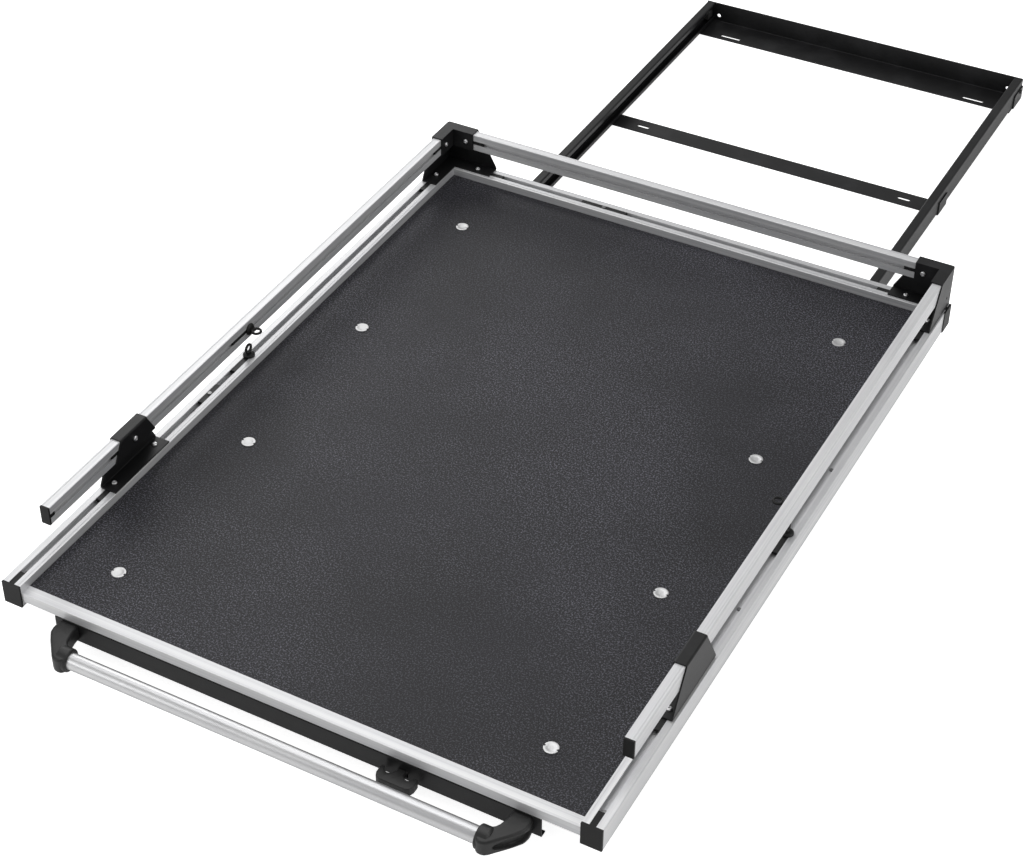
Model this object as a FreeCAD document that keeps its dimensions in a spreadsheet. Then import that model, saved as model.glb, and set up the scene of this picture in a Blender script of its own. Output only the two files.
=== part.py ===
"""Truck bed slide: a base frame bolted to the truck's floor and a deck that rolls out on it.

Frame: +X to the right across the truck, +Y towards the cab, +Z up, millimetres. The origin is
on the truck's floor, midway between the two bolt slots of the cab-end angle. The deck is drawn
rolled out to its full reach, as in the photograph.
"""
import FreeCAD, Part
import math
import os
import Sketcher
from FreeCAD import Placement, Rotation, Vector

DOC = FreeCAD.newDocument("truck_bed_slide")

# Driving sizes: name, millimetres, what it is.
SIZES = (
    ("base_length", 1640.0, "length of the two base rails"),
    ("base_width", 853.0, "across the outer faces of the base rails"),
    ("rail_height", 50.0, "height of a base rail and of a deck runner"),
    ("rail_width", 22.0, "width of a base rail and of a deck runner"),
    ("steel", 3.0, "thickness of every folded steel sheet"),
    ("bend", 4.0, "outer radius of a folded corner"),
    ("rail_lip", 12.0, "returned lips of the base rail"),
    ("strap_width", 52.0, "width of the flat straps under the base rails"),
    ("tab_height", 34.0, "turned-up ends of straps and angle"),
    ("middle_strap_y", -507.0, "middle strap, from the cab-end bolt line"),
    ("front_strap_inset", 66.0, "front strap, from the front ends of the rails"),
    ("strap_slot_inset", 90.5, "bolt slots in the straps, in from the rails' outer faces"),
    ("strap_slot_length", 31.0, "end to end"),
    ("angle_depth", 84.0, "floor flange of the cab-end angle"),
    ("angle_slot_edge", 17.0, "bolt line, from the free edge of the flange"),
    ("angle_slot_inset", 98.9, "bolt slots in the angle, in from the rails' outer faces"),
    ("angle_slot_length", 54.0, "end to end"),
    ("angle_tab_length", 60.0, "turned-up ends of the angle"),
    ("slot_radius", 4.5, "half width of every bolt slot"),
    ("drain_inset", 34.5, "round holes in the upright, in from the rails' outer faces"),
    ("drain_height", 18.0, "their height above the floor"),
    ("drain_radius", 5.0, "their radius"),
    ("travel", 1046.0, "how far the deck rolls in and out"),
    ("closed_gap", 18.0, "deck's cab end to the angle's upright when closed"),
    ("deck_clear", 4.0, "underside of the deck above the base rails"),
    ("side_gap", 4.0, "between a deck runner and the base rail beside it"),
    ("roller_fit", 0.3, "a roller's running clearance to its track, above and below"),
    ("roller_width", 13.0, "tread width"),
    ("bore_fit", 0.05, "radial clearance of a running bore"),
    ("axle_radius", 5.0, "roller axles"),
    ("front_roller_inset", 25.0, "base rollers, from the front ends of the rails"),
    ("deck_roller_inset", 32.5, "deck rollers, from the deck's cab end"),
    ("stop_radius", 5.0, "travel stop pins"),
    ("deck_width", 1219.0, "across the side extrusions"),
    ("board_length", 1575.0, "deck board along the truck"),
    ("board_thick", 12.0, "deck board"),
    ("board_fit", 0.5, "board to the extrusions round it"),
    ("side_width", 40.0, "side and cab-end extrusions"),
    ("side_height", 50.0, "side and cab-end extrusions"),
    ("side_rise", 17.0, "how far they stand above the board"),
    ("slot_gap", 12.5, "mouth of their T-slot"),
    ("slot_lip", 2.5, "thickness of the slot's lips"),
    ("slot_cavity", 22.0, "inside width of the slot"),
    ("slot_depth", 9.0, "inside height of the slot"),
    ("side_wall", 2.5, "walls of the hollow extrusions"),
    ("crossbar_depth", 24.5, "front crossbar, front to back"),
    ("crossbar_height", 21.0, "front crossbar"),
    ("crossbar_rise", 0.5, "how far it stands above the board"),
    ("cap_thick", 4.0, "plate of an end cap"),
    ("cap_tongue", 34.0, "tongue of an end cap in the slot"),
    ("groove_inset", 5.0, "fine grooves along the extrusions, from their edges"),
    ("groove_half", 0.6, "half the width of a fine groove, and its depth"),
    ("bar_width", 20.0, "upper rails"),
    ("bar_height", 40.0, "upper rails"),
    ("bar_rise", 50.0, "upper rails above the side extrusions"),
    ("bar_inset", 6.5, "upper rails, in from the deck's sides"),
    ("bar_setback", 122.0, "front ends of the upper rails, from the side extrusions' ends"),
    ("bar_slot_gap", 9.0, "mouth of the upper rails' slot"),
    ("bar_slot_cavity", 15.0, "inside width of that slot"),
    ("bar_slot_depth", 6.5, "inside depth of that slot"),
    ("bar_wall", 2.0, "walls of the upper rails"),
    ("slot_fit", 0.4, "a sliding strip to its slot, all round"),
    ("disc_outset", 20.5, "deck bolts, outside the base rails' outer faces"),
    ("disc_pitch", 430.0, "deck bolts along the truck"),
    ("disc_first", 106.0, "first deck bolts, from the board's front edge"),
    ("disc_radius", 14.0, "flat heads of the deck bolts"),
    ("disc_thick", 2.0, "their thickness"),
    ("deck_bolt_radius", 4.0, "deck bolts"),
    ("member_width", 40.0, "cross members under the board"),
    ("member_wall", 2.0, "their walls"),
    ("plate_height", 45.5, "front plate below the crossbar"),
    ("plate_half", 497.0, "front plate, half its length"),
    ("plate_flange", 15.0, "its folded flanges"),
    ("tube_radius", 16.0, "handle tube"),
    ("tube_wall", 2.5, "handle tube"),
    ("tube_reach", 64.0, "tube axis in front of the plate"),
    ("tube_half", 434.0, "handle tube, half its length"),
    ("tube_height", 49.0, "tube axis above the floor"),
    ("collar_radius", 22.5, "collar of a handle arm"),
    ("collar_length", 20.0, "how much of the tube it holds"),
    ("arm_inset", 16.0, "a handle arm, in from the end of the front plate"),
    ("arm_pocket", 8.5, "half the height of the pocket in its outer face"),
    ("trigger_x", 235.0, "release trigger, from the middle"),
    ("trigger_height", 40.0, "its middle above the floor"),
    ("trigger_half", 42.0, "half its length"),
    ("trigger_thick", 18.0, "its height"),
    ("trigger_reach", 36.0, "its front face in front of the plate"),
    ("trigger_depth", 29.0, "front to back"),
    ("finger_width", 25.0, "each finger notch"),
    ("stem_half", 8.0, "half the stem's width"),
    ("rod_radius", 4.0, "pull rod and latch pin"),
    ("crank_arm", 30.0, "both arms of the bell crank"),
    ("crank_thick", 4.0, "bell crank plate"),
    ("latch_height", 47.0, "latch pin above the floor"),
    ("lock_radius", 4.6, "lock holes in the right base rail"),
    ("lock_setback", 12.0, "the end lock holes, short of the ends of travel"),
    ("bracket_foot", 36.0, "width of a bracket's foot"),
    ("side_bracket_left_y", -431.0, "left side bracket, from the deck's middle"),
    ("side_bracket_right_y", -456.0, "right side bracket, from the deck's middle"),
    ("side_bracket_top", 84.0, "length of their top"),
    ("side_bracket_foot", 176.0, "length of their foot"),
    ("corner_top", 77.0, "arms of a corner bracket at the top"),
    ("corner_foot", 125.0, "arms of a corner bracket at the foot"),
    ("corner_round", 5.0, "its rounded outer edges"),
    ("web_screw_inset", 30.0, "screw in its side web, from the cab end"),
    ("web_screw_drop", 20.0, "that screw, below the upper rail"),
    ("web_screw_radius", 4.0, "its head"),
    ("foot_screw_inset", 22.0, "foot screws, from the ends of a side bracket's foot"),
    ("corner_screw_inset", 36.0, "foot screws, from the ends of a corner bracket's foot"),
    ("lip_screw_inset", 18.0, "lip screws, from the ends of a corner bracket's lips"),
    ("strip_past_foot", 28.0, "nut strips, past a bracket's foot"),
    ("strip_past_lip", 25.0, "nut strips, past a bracket's lips"),
    ("strip_short", 20.0, "nut strips, short of a bracket's other end"),
    ("screw_head_radius", 6.0, "bracket screws"),
    ("screw_head", 3.5, "height of their heads"),
    ("screw_radius", 3.0, "bracket screws"),
    ("eye_left_y", -33.0, "left tie-down eyes, from the deck's middle"),
    ("eye_right_y", -9.0, "right tie-down eyes, from the deck's middle"),
    ("eye_boss_radius", 12.5, "domed foot of a tie-down eye"),
    ("eye_rim", 2.5, "its rim"),
    ("eye_boss", 7.0, "its height"),
    ("eye_neck_radius", 5.0, "neck between foot and ring"),
    ("eye_ring_radius", 9.0, "ring of a tie-down eye, to the middle of its bar"),
    ("eye_bar_radius", 3.0, "bar of the ring"),
    ("eye_strip_front", 58.0, "an eye's nut strip, on towards the tailgate"),
    ("eye_strip_rear", 12.0, "and towards the cab"),
    ("rear_insert_x", 195.0, "middle of the spare strip in the cab-end slot"),
    ("rear_insert_half", 55.0, "half its length"),
    ("left_insert_y", -176.0, "middle of the spare strip in the left slot"),
    ("left_insert_half", 32.0, "half its length"),
    ("slot_screw_front", 43.0, "first small slot screws, from the extrusions' front ends"),
    ("slot_screw_middle", -228.0, "second small slot screws, from the deck's middle"),
    ("slot_screw_rear", 212.0, "third small slot screws, from the deck's middle"),
)


class Size:
    """A length in millimetres together with the sheet formula that gives it."""

    def __init__(self, value, formula=None):
        self.value = float(value)
        self.formula = formula or "%.6f" % self.value
        self.live = formula is not None

    def _with(self, other, sign, swap=False):
        other = other if isinstance(other, Size) else Size(other)
        first, second = (other, self) if swap else (self, other)
        numbers = {
            "+": first.value + second.value,
            "-": first.value - second.value,
            "*": first.value * second.value,
            "/": first.value / second.value if second.value else 0.0,
        }
        formula = "(%s %s %s)" % (first.formula, sign, second.formula)
        return Size(numbers[sign], formula if first.live or second.live else None)

    def __add__(self, other):
        return self._with(other, "+")

    def __radd__(self, other):
        return self._with(other, "+", True)

    def __sub__(self, other):
        return self._with(other, "-")

    def __rsub__(self, other):
        return self._with(other, "-", True)

    def __mul__(self, other):
        return self._with(other, "*")

    def __rmul__(self, other):
        return self._with(other, "*", True)

    def __truediv__(self, other):
        return self._with(other, "/")

    def __neg__(self):
        return self._with(-1.0, "*")


def size(number):
    """Any number as a Size."""
    return number if isinstance(number, Size) else Size(number)


class Sheet:
    """The spreadsheet of driving sizes; each alias is an attribute that gives a Size."""

    def __init__(self, rows):
        self.sheet = DOC.addObject("Spreadsheet::Sheet", "Sizes")
        for row, (alias, value, note) in enumerate(rows, start=1):
            self.sheet.set("A%d" % row, alias)
            self.sheet.set("B%d" % row, "%g" % value)
            self.sheet.set("C%d" % row, note)
            self.sheet.setAlias("B%d" % row, alias)
            setattr(self, alias, Size(value, "Sizes.%s" % alias))
        DOC.recompute()


dim = Sheet(SIZES)


def pin_point(sketch, geometry, position, across, up):
    """Hold one point of a sketch at two sizes measured from the sketch's origin."""
    for kind, axis, value in (("DistanceX", -2, size(across)), ("DistanceY", -1, size(up))):
        if not value.live and value.value == 0.0:
            sketch.addConstraint(Sketcher.Constraint("PointOnObject", geometry, position, axis))
            continue
        place = Sketcher.Constraint(kind, -1, 1, geometry, position, value.value)
        index = sketch.addConstraint(place)
        if value.live:
            sketch.setExpression("Constraints[%d]" % index, value.formula)


class Outline:
    """A closed outline through points (across, up) or (across, up, corner radius).

    A corner with a radius lies between two sides that run along the sketch's axes.
    """

    def __init__(self, *points):
        self.points = [tuple(size(number) for number in point) for point in points]

    @staticmethod
    def _towards(here, there):
        """The unit step along a sketch axis from one point to the next."""
        across = there[0].value - here[0].value
        up = there[1].value - here[1].value
        if abs(across) > abs(up):
            return (math.copysign(1.0, across), 0.0)
        return (0.0, math.copysign(1.0, up))

    def draw(self, sketch):
        count = len(self.points)
        joints = []
        for index, point in enumerate(self.points):
            across, up = point[0], point[1]
            if len(point) == 2:
                joints.append(((across, up), (across, up), None))
                continue
            radius = point[2]
            back = self._towards(point, self.points[index - 1])
            ahead = self._towards(point, self.points[(index + 1) % count])
            start = (across + radius * back[0], up + radius * back[1])
            end = (across + radius * ahead[0], up + radius * ahead[1])
            turn = back[1] * ahead[0] - back[0] * ahead[1]
            centre = (across.value + radius.value * (back[0] + ahead[0]),
                      up.value + radius.value * (back[1] + ahead[1]))
            joints.append((start, end, (centre, radius, turn)))
        sides = []
        for index in range(count):
            start = joints[index][1]
            end = joints[(index + 1) % count][0]
            side = sketch.addGeometry(Part.LineSegment(
                Vector(start[0].value, start[1].value, 0), Vector(end[0].value, end[1].value, 0)))
            sides.append(side)
        for index, (start, end, corner) in enumerate(joints):
            before, after = sides[index - 1], sides[index]
            pin_point(sketch, after, 1, *end)
            if corner is None:
                sketch.addConstraint(Sketcher.Constraint("Coincident", before, 2, after, 1))
                continue
            pin_point(sketch, before, 2, *start)
            (cx, cy), radius, turn = corner
            first, last = (start, end) if turn > 0 else (end, start)
            angle_a = math.atan2(first[1].value - cy, first[0].value - cx)
            angle_b = math.atan2(last[1].value - cy, last[0].value - cx)
            circle = Part.Circle(Vector(cx, cy, 0), Vector(0, 0, 1), radius.value)
            arc = sketch.addGeometry(Part.ArcOfCircle(circle, angle_a, angle_b))
            ends = (1, 2) if turn > 0 else (2, 1)
            sketch.addConstraint(Sketcher.Constraint("Coincident", arc, ends[0], before, 2))
            sketch.addConstraint(Sketcher.Constraint("Coincident", arc, ends[1], after, 1))
            held = sketch.addConstraint(Sketcher.Constraint("Radius", arc, radius.value))
            if radius.live:
                sketch.setExpression("Constraints[%d]" % held, radius.formula)


class Circle:
    """A full circle."""

    def __init__(self, across, up, radius):
        self.centre = (size(across), size(up))
        self.radius = size(radius)

    def draw(self, sketch):
        middle = Vector(self.centre[0].value, self.centre[1].value, 0)
        ring = sketch.addGeometry(Part.Circle(middle, Vector(0, 0, 1), self.radius.value))
        pin_point(sketch, ring, 3, *self.centre)
        held = sketch.addConstraint(Sketcher.Constraint("Radius", ring, self.radius.value))
        if self.radius.live:
            sketch.setExpression("Constraints[%d]" % held, self.radius.formula)


class Slot:
    """A slot with round ends, along the sketch's first axis, or its second with upright."""

    def __init__(self, across, up, length, radius, upright=False):
        self.radius = size(radius)
        reach = size(length) / 2 - self.radius
        zero = Size(0)
        step = (zero, reach) if upright else (reach, zero)
        self.ends = ((size(across) - step[0], size(up) - step[1]),
                     (size(across) + step[0], size(up) + step[1]))
        self.turn = math.pi / 2 if upright else 0.0

    def draw(self, sketch):
        arcs = []
        for (across, up), begin in zip(self.ends, (0.5 * math.pi, -0.5 * math.pi)):
            circle = Part.Circle(Vector(across.value, up.value, 0), Vector(0, 0, 1),
                                 self.radius.value)
            start = begin + self.turn
            arc = sketch.addGeometry(Part.ArcOfCircle(circle, start, start + math.pi))
            pin_point(sketch, arc, 3, across, up)
            arcs.append(arc)
        held = sketch.addConstraint(Sketcher.Constraint("Radius", arcs[0], self.radius.value))
        if self.radius.live:
            sketch.setExpression("Constraints[%d]" % held, self.radius.formula)
        for near, far in ((0, 1), (1, 0)):
            start = self._end_of(sketch, arcs[near], 2)
            end = self._end_of(sketch, arcs[far], 1)
            side = sketch.addGeometry(Part.LineSegment(start, end))
            sketch.addConstraint(Sketcher.Constraint("Tangent", arcs[near], 2, side, 1))
            sketch.addConstraint(Sketcher.Constraint("Tangent", side, 2, arcs[far], 1))

    @staticmethod
    def _end_of(sketch, arc, position):
        return sketch.getPoint(arc, position)


PLANES = {"top": "XY_Plane", "front": "XZ_Plane", "side": "YZ_Plane"}
SUB_PARTS = []


class SubPart:
    """One sub-part, a body of sketched features, placed by sizes from the sheet.

    A sketch on "top" is drawn in X and Y, on "front" in X and Z, on "side" in Y and Z.
    """

    def __init__(self, name, at=(0, 0, 0)):
        self.body = DOC.addObject("PartDesign::Body", name)
        self.body.Label = name
        self.features = 0
        SUB_PARTS.append(self.body)
        for axis, value in zip("xyz", at):
            value = size(value)
            if value.live:
                self.body.setExpression("Placement.Base.%s" % axis, value.formula)
            elif value.value:
                setattr(self.body.Placement.Base, axis, value.value)

    def _name(self, kind):
        self.features += 1
        return "%s_%s_%d" % (self.body.Name, kind, self.features)

    def sketch(self, plane, shapes, height=0, middle=(0, 0)):
        """A sketch on one of the body's planes, moved along its normal and within itself."""
        sketch = self.body.newObject("Sketcher::SketchObject", self._name("sketch"))
        plane_of_body = [feature for feature in self.body.Origin.OriginFeatures
                         if feature.Role == PLANES[plane]]
        sketch.AttachmentSupport = [(plane_of_body[0], "")]
        sketch.MapMode = "FlatFace"
        lift = size(height) * (-1.0 if plane == "front" else 1.0)
        offset = (size(middle[0]), size(middle[1]), lift)
        sketch.AttachmentOffset = Placement(Vector(*[part.value for part in offset]), Rotation())
        for axis, part in zip("xyz", offset):
            if part.live:
                sketch.setExpression("AttachmentOffset.Base.%s" % axis, part.formula)
        for shape in shapes:
            shape.draw(sketch)
        return sketch

    def _extrude(self, kind, plane, shapes, low, high, forward, middle):
        low, high = size(low), size(high)
        sketch = self.sketch(plane, shapes, low, middle)
        feature = self.body.newObject("PartDesign::%s" % kind, self._name(kind.lower()))
        feature.Profile = sketch
        feature.Length = (high - low).value
        if (high - low).live:
            feature.setExpression("Length", (high - low).formula)
        feature.Reversed = not forward
        sketch.Visibility = False
        return feature

    def add(self, plane, shapes, low, high, middle=(0, 0)):
        """Material between two levels along the plane's axis."""
        return self._extrude("Pad", plane, shapes, low, high, plane != "front", middle)

    def cut(self, plane, shapes, low, high, middle=(0, 0)):
        """Material taken away between two levels along the plane's axis."""
        return self._extrude("Pocket", plane, shapes, low, high, plane == "front", middle)

    def _turn(self, kind, plane, shapes, axis, height, middle):
        sketch = self.sketch(plane, shapes, height, middle)
        feature = self.body.newObject("PartDesign::%s" % kind, self._name(kind.lower()))
        feature.Profile = sketch
        feature.ReferenceAxis = (sketch, [axis])
        feature.Angle = 360.0
        sketch.Visibility = False
        return feature

    def turn(self, plane, shapes, axis, height=0, middle=(0, 0)):
        """A turned form about the sketch's own H_Axis or V_Axis."""
        return self._turn("Revolution", plane, shapes, axis, height, middle)

    def sweep(self, profile, path):
        """A pipe of one sketch along the lines and arcs of another."""
        pipe = self.body.newObject("PartDesign::AdditivePipe", self._name("pipe"))
        pipe.Profile = profile
        edges = ["Edge%d" % (number + 1) for number in range(len(path.Geometry))]
        pipe.Spine = (path, edges)
        profile.Visibility = False
        path.Visibility = False
        return pipe


SIDES = (("left", -1.0), ("right", 1.0))
SIDE_BRACKET_Y = {-1.0: dim.side_bracket_left_y, 1.0: dim.side_bracket_right_y}
EYE_Y = {-1.0: dim.eye_left_y, 1.0: dim.eye_right_y}

# Levels above the floor, and the lines that several sub-parts share.
INNER_BEND = dim.bend - dim.steel
BASE_LOW = dim.steel
BASE_TOP = BASE_LOW + dim.rail_height
DECK_LOW = BASE_TOP + dim.deck_clear
SIDE_TOP = DECK_LOW + dim.side_height
BOARD_TOP = SIDE_TOP - dim.side_rise
BOARD_LOW = BOARD_TOP - dim.board_thick
BAR_LOW = SIDE_TOP + dim.bar_rise
BAR_TOP = BAR_LOW + dim.bar_height
BAR_MIDDLE = BAR_LOW + dim.bar_height / 2

BASE_HALF = dim.base_width / 2
DISC_X = BASE_HALF + dim.disc_outset
BASE_REAR = dim.angle_depth - dim.angle_slot_edge
BASE_FRONT = BASE_REAR - dim.base_length

BOARD_HALF = dim.board_length / 2
SIDE_INNER = dim.deck_width / 2 - dim.side_width
SLOT_X = dim.deck_width / 2 - dim.side_width / 2
DECK_REAR = BOARD_HALF + dim.side_width
DECK_FRONT = -BOARD_HALF - dim.crossbar_depth
DECK_Y = BASE_REAR - dim.closed_gap - dim.travel - DECK_REAR
DECK = (0, DECK_Y, 0)
REAR_SLOT_Y = DECK_REAR - dim.side_width / 2
REAR_HALF = dim.deck_width / 2 - dim.cap_thick / 2

BAR_OUTER = dim.deck_width / 2 - dim.bar_inset
BAR_INNER = BAR_OUTER - dim.bar_width
BAR_REAR_INNER = DECK_REAR - dim.bar_width

RUNNER_OUTER = BASE_HALF - dim.rail_width - dim.side_gap
RUNNER_INNER = RUNNER_OUTER - dim.rail_width
RUNNER_LOW = DECK_LOW - dim.rail_height
TRACK = dim.rail_height - dim.steel * 2
ROLLER_RADIUS = TRACK / 2 - dim.roller_fit
BASE_ROLLER_Z = RUNNER_LOW + dim.rail_height / 2
DECK_ROLLER_Z = BASE_LOW + dim.rail_height / 2
BASE_ROLLER_X = (RUNNER_INNER + dim.steel + RUNNER_OUTER) / 2
DECK_ROLLER_X = BASE_HALF - dim.rail_width / 2
BASE_ROLLER_Y = BASE_FRONT + dim.front_roller_inset
DECK_ROLLER_Y = DECK_REAR - dim.deck_roller_inset
STOP_Y = DECK_Y + DECK_ROLLER_Y - ROLLER_RADIUS - dim.roller_fit - dim.stop_radius

PLATE_FRONT = DECK_FRONT
CROSSBAR_TOP = BOARD_TOP + dim.crossbar_rise
CROSSBAR_LOW = CROSSBAR_TOP - dim.crossbar_height
PLATE_LOW = CROSSBAR_LOW - dim.plate_height
TUBE_Y = PLATE_FRONT - dim.tube_reach
MEMBER_YS = [dim.disc_first - BOARD_HALF + dim.disc_pitch * number for number in range(4)]
CRANK_X = dim.trigger_x + dim.crank_arm
CRANK_Y = MEMBER_YS[3]
LATCH_Y = CRANK_Y + dim.crank_arm


def ordered(one, other):
    """Two levels, the lower one first."""
    return sorted((size(one), size(other)), key=lambda level: level.value)


def box(low_a, low_b, high_a, high_b):
    """A plain rectangle."""
    return Outline((low_a, low_b), (high_a, low_b), (high_a, high_b), (low_a, high_b))


def base_rail(name, side):
    """A folded channel with returned lips, open towards the middle of the truck."""
    outer = BASE_HALF * side
    mouth = (BASE_HALF - dim.rail_width) * side
    mouth_inner = (BASE_HALF - dim.rail_width + dim.steel) * side
    web_inner = (BASE_HALF - dim.steel) * side
    low, top = BASE_LOW, BASE_TOP
    part = SubPart(name)
    part.add("front", [Outline(
        (outer, low, dim.bend), (outer, top, dim.bend), (mouth, top, dim.bend),
        (mouth, top - dim.rail_lip), (mouth_inner, top - dim.rail_lip),
        (mouth_inner, top - dim.steel), (web_inner, top - dim.steel, INNER_BEND),
        (web_inner, low + dim.steel, INNER_BEND), (mouth_inner, low + dim.steel),
        (mouth_inner, low + dim.rail_lip), (mouth, low + dim.rail_lip), (mouth, low, dim.bend),
    )], BASE_FRONT, BASE_REAR - INNER_BEND)
    web = ordered(outer, web_inner)
    part.cut("side", [
        Circle(BASE_ROLLER_Y, BASE_ROLLER_Z, dim.axle_radius),
        Circle(STOP_Y, DECK_ROLLER_Z, dim.screw_radius),
        Circle(BASE_REAR - dim.closed_gap, DECK_ROLLER_Z, dim.screw_radius),
    ], web[0] - 1, web[1] + 1)
    if side > 0:
        reaches = (dim.lock_setback, dim.travel / 2, dim.travel - dim.lock_setback)
        part.cut("side", [Circle(DECK_Y + LATCH_Y + reach, dim.latch_height, dim.lock_radius)
                          for reach in reaches], mouth - 1, mouth_inner + 1)
    return part


def base_angle():
    """The folded angle across the cab end, with turned-up tabs outside the rails."""
    part = SubPart("base_rear_angle")
    edge = -dim.angle_slot_edge
    part.add("side", [Outline(
        (edge, 0), (BASE_REAR + dim.steel, 0, dim.bend), (BASE_REAR + dim.steel, BASE_TOP),
        (BASE_REAR, BASE_TOP), (BASE_REAR, dim.steel, INNER_BEND), (edge, dim.steel),
    )], -BASE_HALF, BASE_HALF)
    tab_low = BASE_REAR - dim.angle_tab_length
    for _, side in SIDES:
        faces = ordered(BASE_HALF * side, (BASE_HALF + dim.steel) * side)
        part.add("side", [Outline(
            (tab_low, 0), (BASE_REAR + dim.steel, 0, dim.bend),
            (BASE_REAR + dim.steel, dim.tab_height),
            (tab_low + dim.bend, dim.tab_height), (tab_low, dim.tab_height - dim.bend),
        )], faces[0], faces[1])
        part.cut("side", [Circle(BASE_REAR - dim.closed_gap, DECK_ROLLER_Z, dim.screw_radius)],
                 faces[0] - 1, faces[1] + 1)
    part.cut("top", [Slot((BASE_HALF - dim.angle_slot_inset) * side, 0, dim.angle_slot_length, dim.slot_radius)
                     for _, side in SIDES], -1, dim.steel + 1)
    part.cut("front", [Circle((BASE_HALF - dim.drain_inset) * side, dim.drain_height, dim.drain_radius)
                       for _, side in SIDES], BASE_REAR - 1, BASE_REAR + dim.steel + 1)
    return part


def base_strap(name, middle):
    """A flat strap under both rails, its ends folded up outside them."""
    outer = BASE_HALF + dim.steel
    part = SubPart(name)
    part.add("front", [Outline(
        (-outer, 0, dim.bend), (outer, 0, dim.bend), (outer, dim.tab_height),
        (BASE_HALF, dim.tab_height), (BASE_HALF, dim.steel, INNER_BEND),
        (-BASE_HALF, dim.steel, INNER_BEND), (-BASE_HALF, dim.tab_height),
        (-outer, dim.tab_height),
    )], middle - dim.strap_width / 2, middle + dim.strap_width / 2)
    part.cut("top", [Slot((BASE_HALF - dim.strap_slot_inset) * side, middle, dim.strap_slot_length,
                          dim.slot_radius) for _, side in SIDES], -1, dim.steel + 1)
    return part


def roller(name, side, across, along, up):
    """A sealed roller bearing, seen as one turned ring with eased edges."""
    part = SubPart(name, (across * side, along, up))
    half = dim.roller_width / 2
    bore = dim.axle_radius + dim.bore_fit
    part.turn("front", [Outline(
        (-half, bore), (half, bore), (half, ROLLER_RADIUS - 1.5), (half - 1.5, ROLLER_RADIUS),
        (-half + 1.5, ROLLER_RADIUS), (-half, ROLLER_RADIUS - 1.5),
    )], "H_Axis")
    return part


def turned_pin(part, side, start, steps, along, up):
    """A pin along X: steps are (length, radius), from its outer end towards the middle."""
    here = start
    for length, radius in steps:
        there = here - length
        ends = ordered(here * side, there * side)
        part.add("side", [Circle(along, up, radius)], ends[0], ends[1])
        here = there


def base_axles():
    """Axles of the base rollers, from the rails' webs inwards, each with a head and a clip."""
    part = SubPart("base_roller_axles")
    start = BASE_HALF + 2.5
    inner = BASE_ROLLER_X - dim.roller_width / 2 - 0.5
    for _, side in SIDES:
        turned_pin(part, side, start, ((size(2.5), dim.axle_radius + 4),
                                       (BASE_HALF - inner, dim.axle_radius)),
                   BASE_ROLLER_Y, BASE_ROLLER_Z)
        collar = BASE_ROLLER_X + dim.roller_width / 2 + 0.5
        turned_pin(part, side, BASE_HALF - dim.steel,
                   ((BASE_HALF - dim.steel - collar, dim.axle_radius + 2.5),),
                   BASE_ROLLER_Y, BASE_ROLLER_Z)
    return part


def deck_axles():
    """Axles of the deck rollers, from the runners' webs outwards into the base rails."""
    part = SubPart("deck_roller_axles", DECK)
    outer = DECK_ROLLER_X + dim.roller_width / 2
    collar = DECK_ROLLER_X - dim.roller_width / 2 - 0.5
    for _, side in SIDES:
        turned_pin(part, side, outer, ((outer - RUNNER_INNER, dim.axle_radius),
                                       (size(2.5), dim.axle_radius + 4)),
                   DECK_ROLLER_Y, DECK_ROLLER_Z)
        turned_pin(part, side, collar, ((collar - RUNNER_INNER - dim.steel,
                                         dim.axle_radius + 2.5),),
                   DECK_ROLLER_Y, DECK_ROLLER_Z)
    return part


def stop_pins():
    """Pins across the base rails that the deck rollers meet when the deck is fully out."""
    part = SubPart("travel_stop_pins")
    for _, side in SIDES:
        turned_pin(part, side, BASE_HALF + 2.5, (
            (size(2.5), dim.stop_radius), (dim.steel, dim.screw_radius),
            (dim.roller_width, dim.stop_radius)), STOP_Y, DECK_ROLLER_Z)
    return part


def end_bumpers():
    """Rubber blocks in the base rails that the deck rollers meet when the deck is home."""
    part = SubPart("end_bumpers")
    roller_edge = DECK_Y + DECK_ROLLER_Y + dim.travel + ROLLER_RADIUS + dim.roller_fit
    low, high = DECK_ROLLER_Z - 14, DECK_ROLLER_Z + 14
    for _, side in SIDES:
        outer = BASE_HALF - dim.steel
        inner = outer - dim.roller_width
        faces = ordered(outer * side, inner * side)
        part.add("side", [box(roller_edge, low, BASE_REAR - 2, high)], faces[0], faces[1])
        head = size(2.5)
        turned_pin(part, side, BASE_HALF + dim.steel + head,
                   ((head, dim.stop_radius), (dim.steel * 2, dim.screw_radius)),
                   BASE_REAR - dim.closed_gap, DECK_ROLLER_Z)
    return part


def t_slot(centre, top, gap, lip, cavity, depth, up=1.0):
    """Points of a T-slot in a top face, from its right edge to its left."""
    return [
        (centre + gap / 2, top), (centre + gap / 2, top - lip), (centre + cavity / 2, top - lip),
        (centre + cavity / 2, top - lip - depth), (centre - cavity / 2, top - lip - depth),
        (centre - cavity / 2, top - lip), (centre - gap / 2, top - lip), (centre - gap / 2, top),
    ]


def fine_groove(centre, top, way=-1.0):
    """Points of a fine groove in a top face, from one of its edges to the other."""
    half = dim.groove_half * way
    return [(centre - half, top), (centre - half, top - dim.groove_half),
            (centre + half, top - dim.groove_half), (centre + half, top)]


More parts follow.
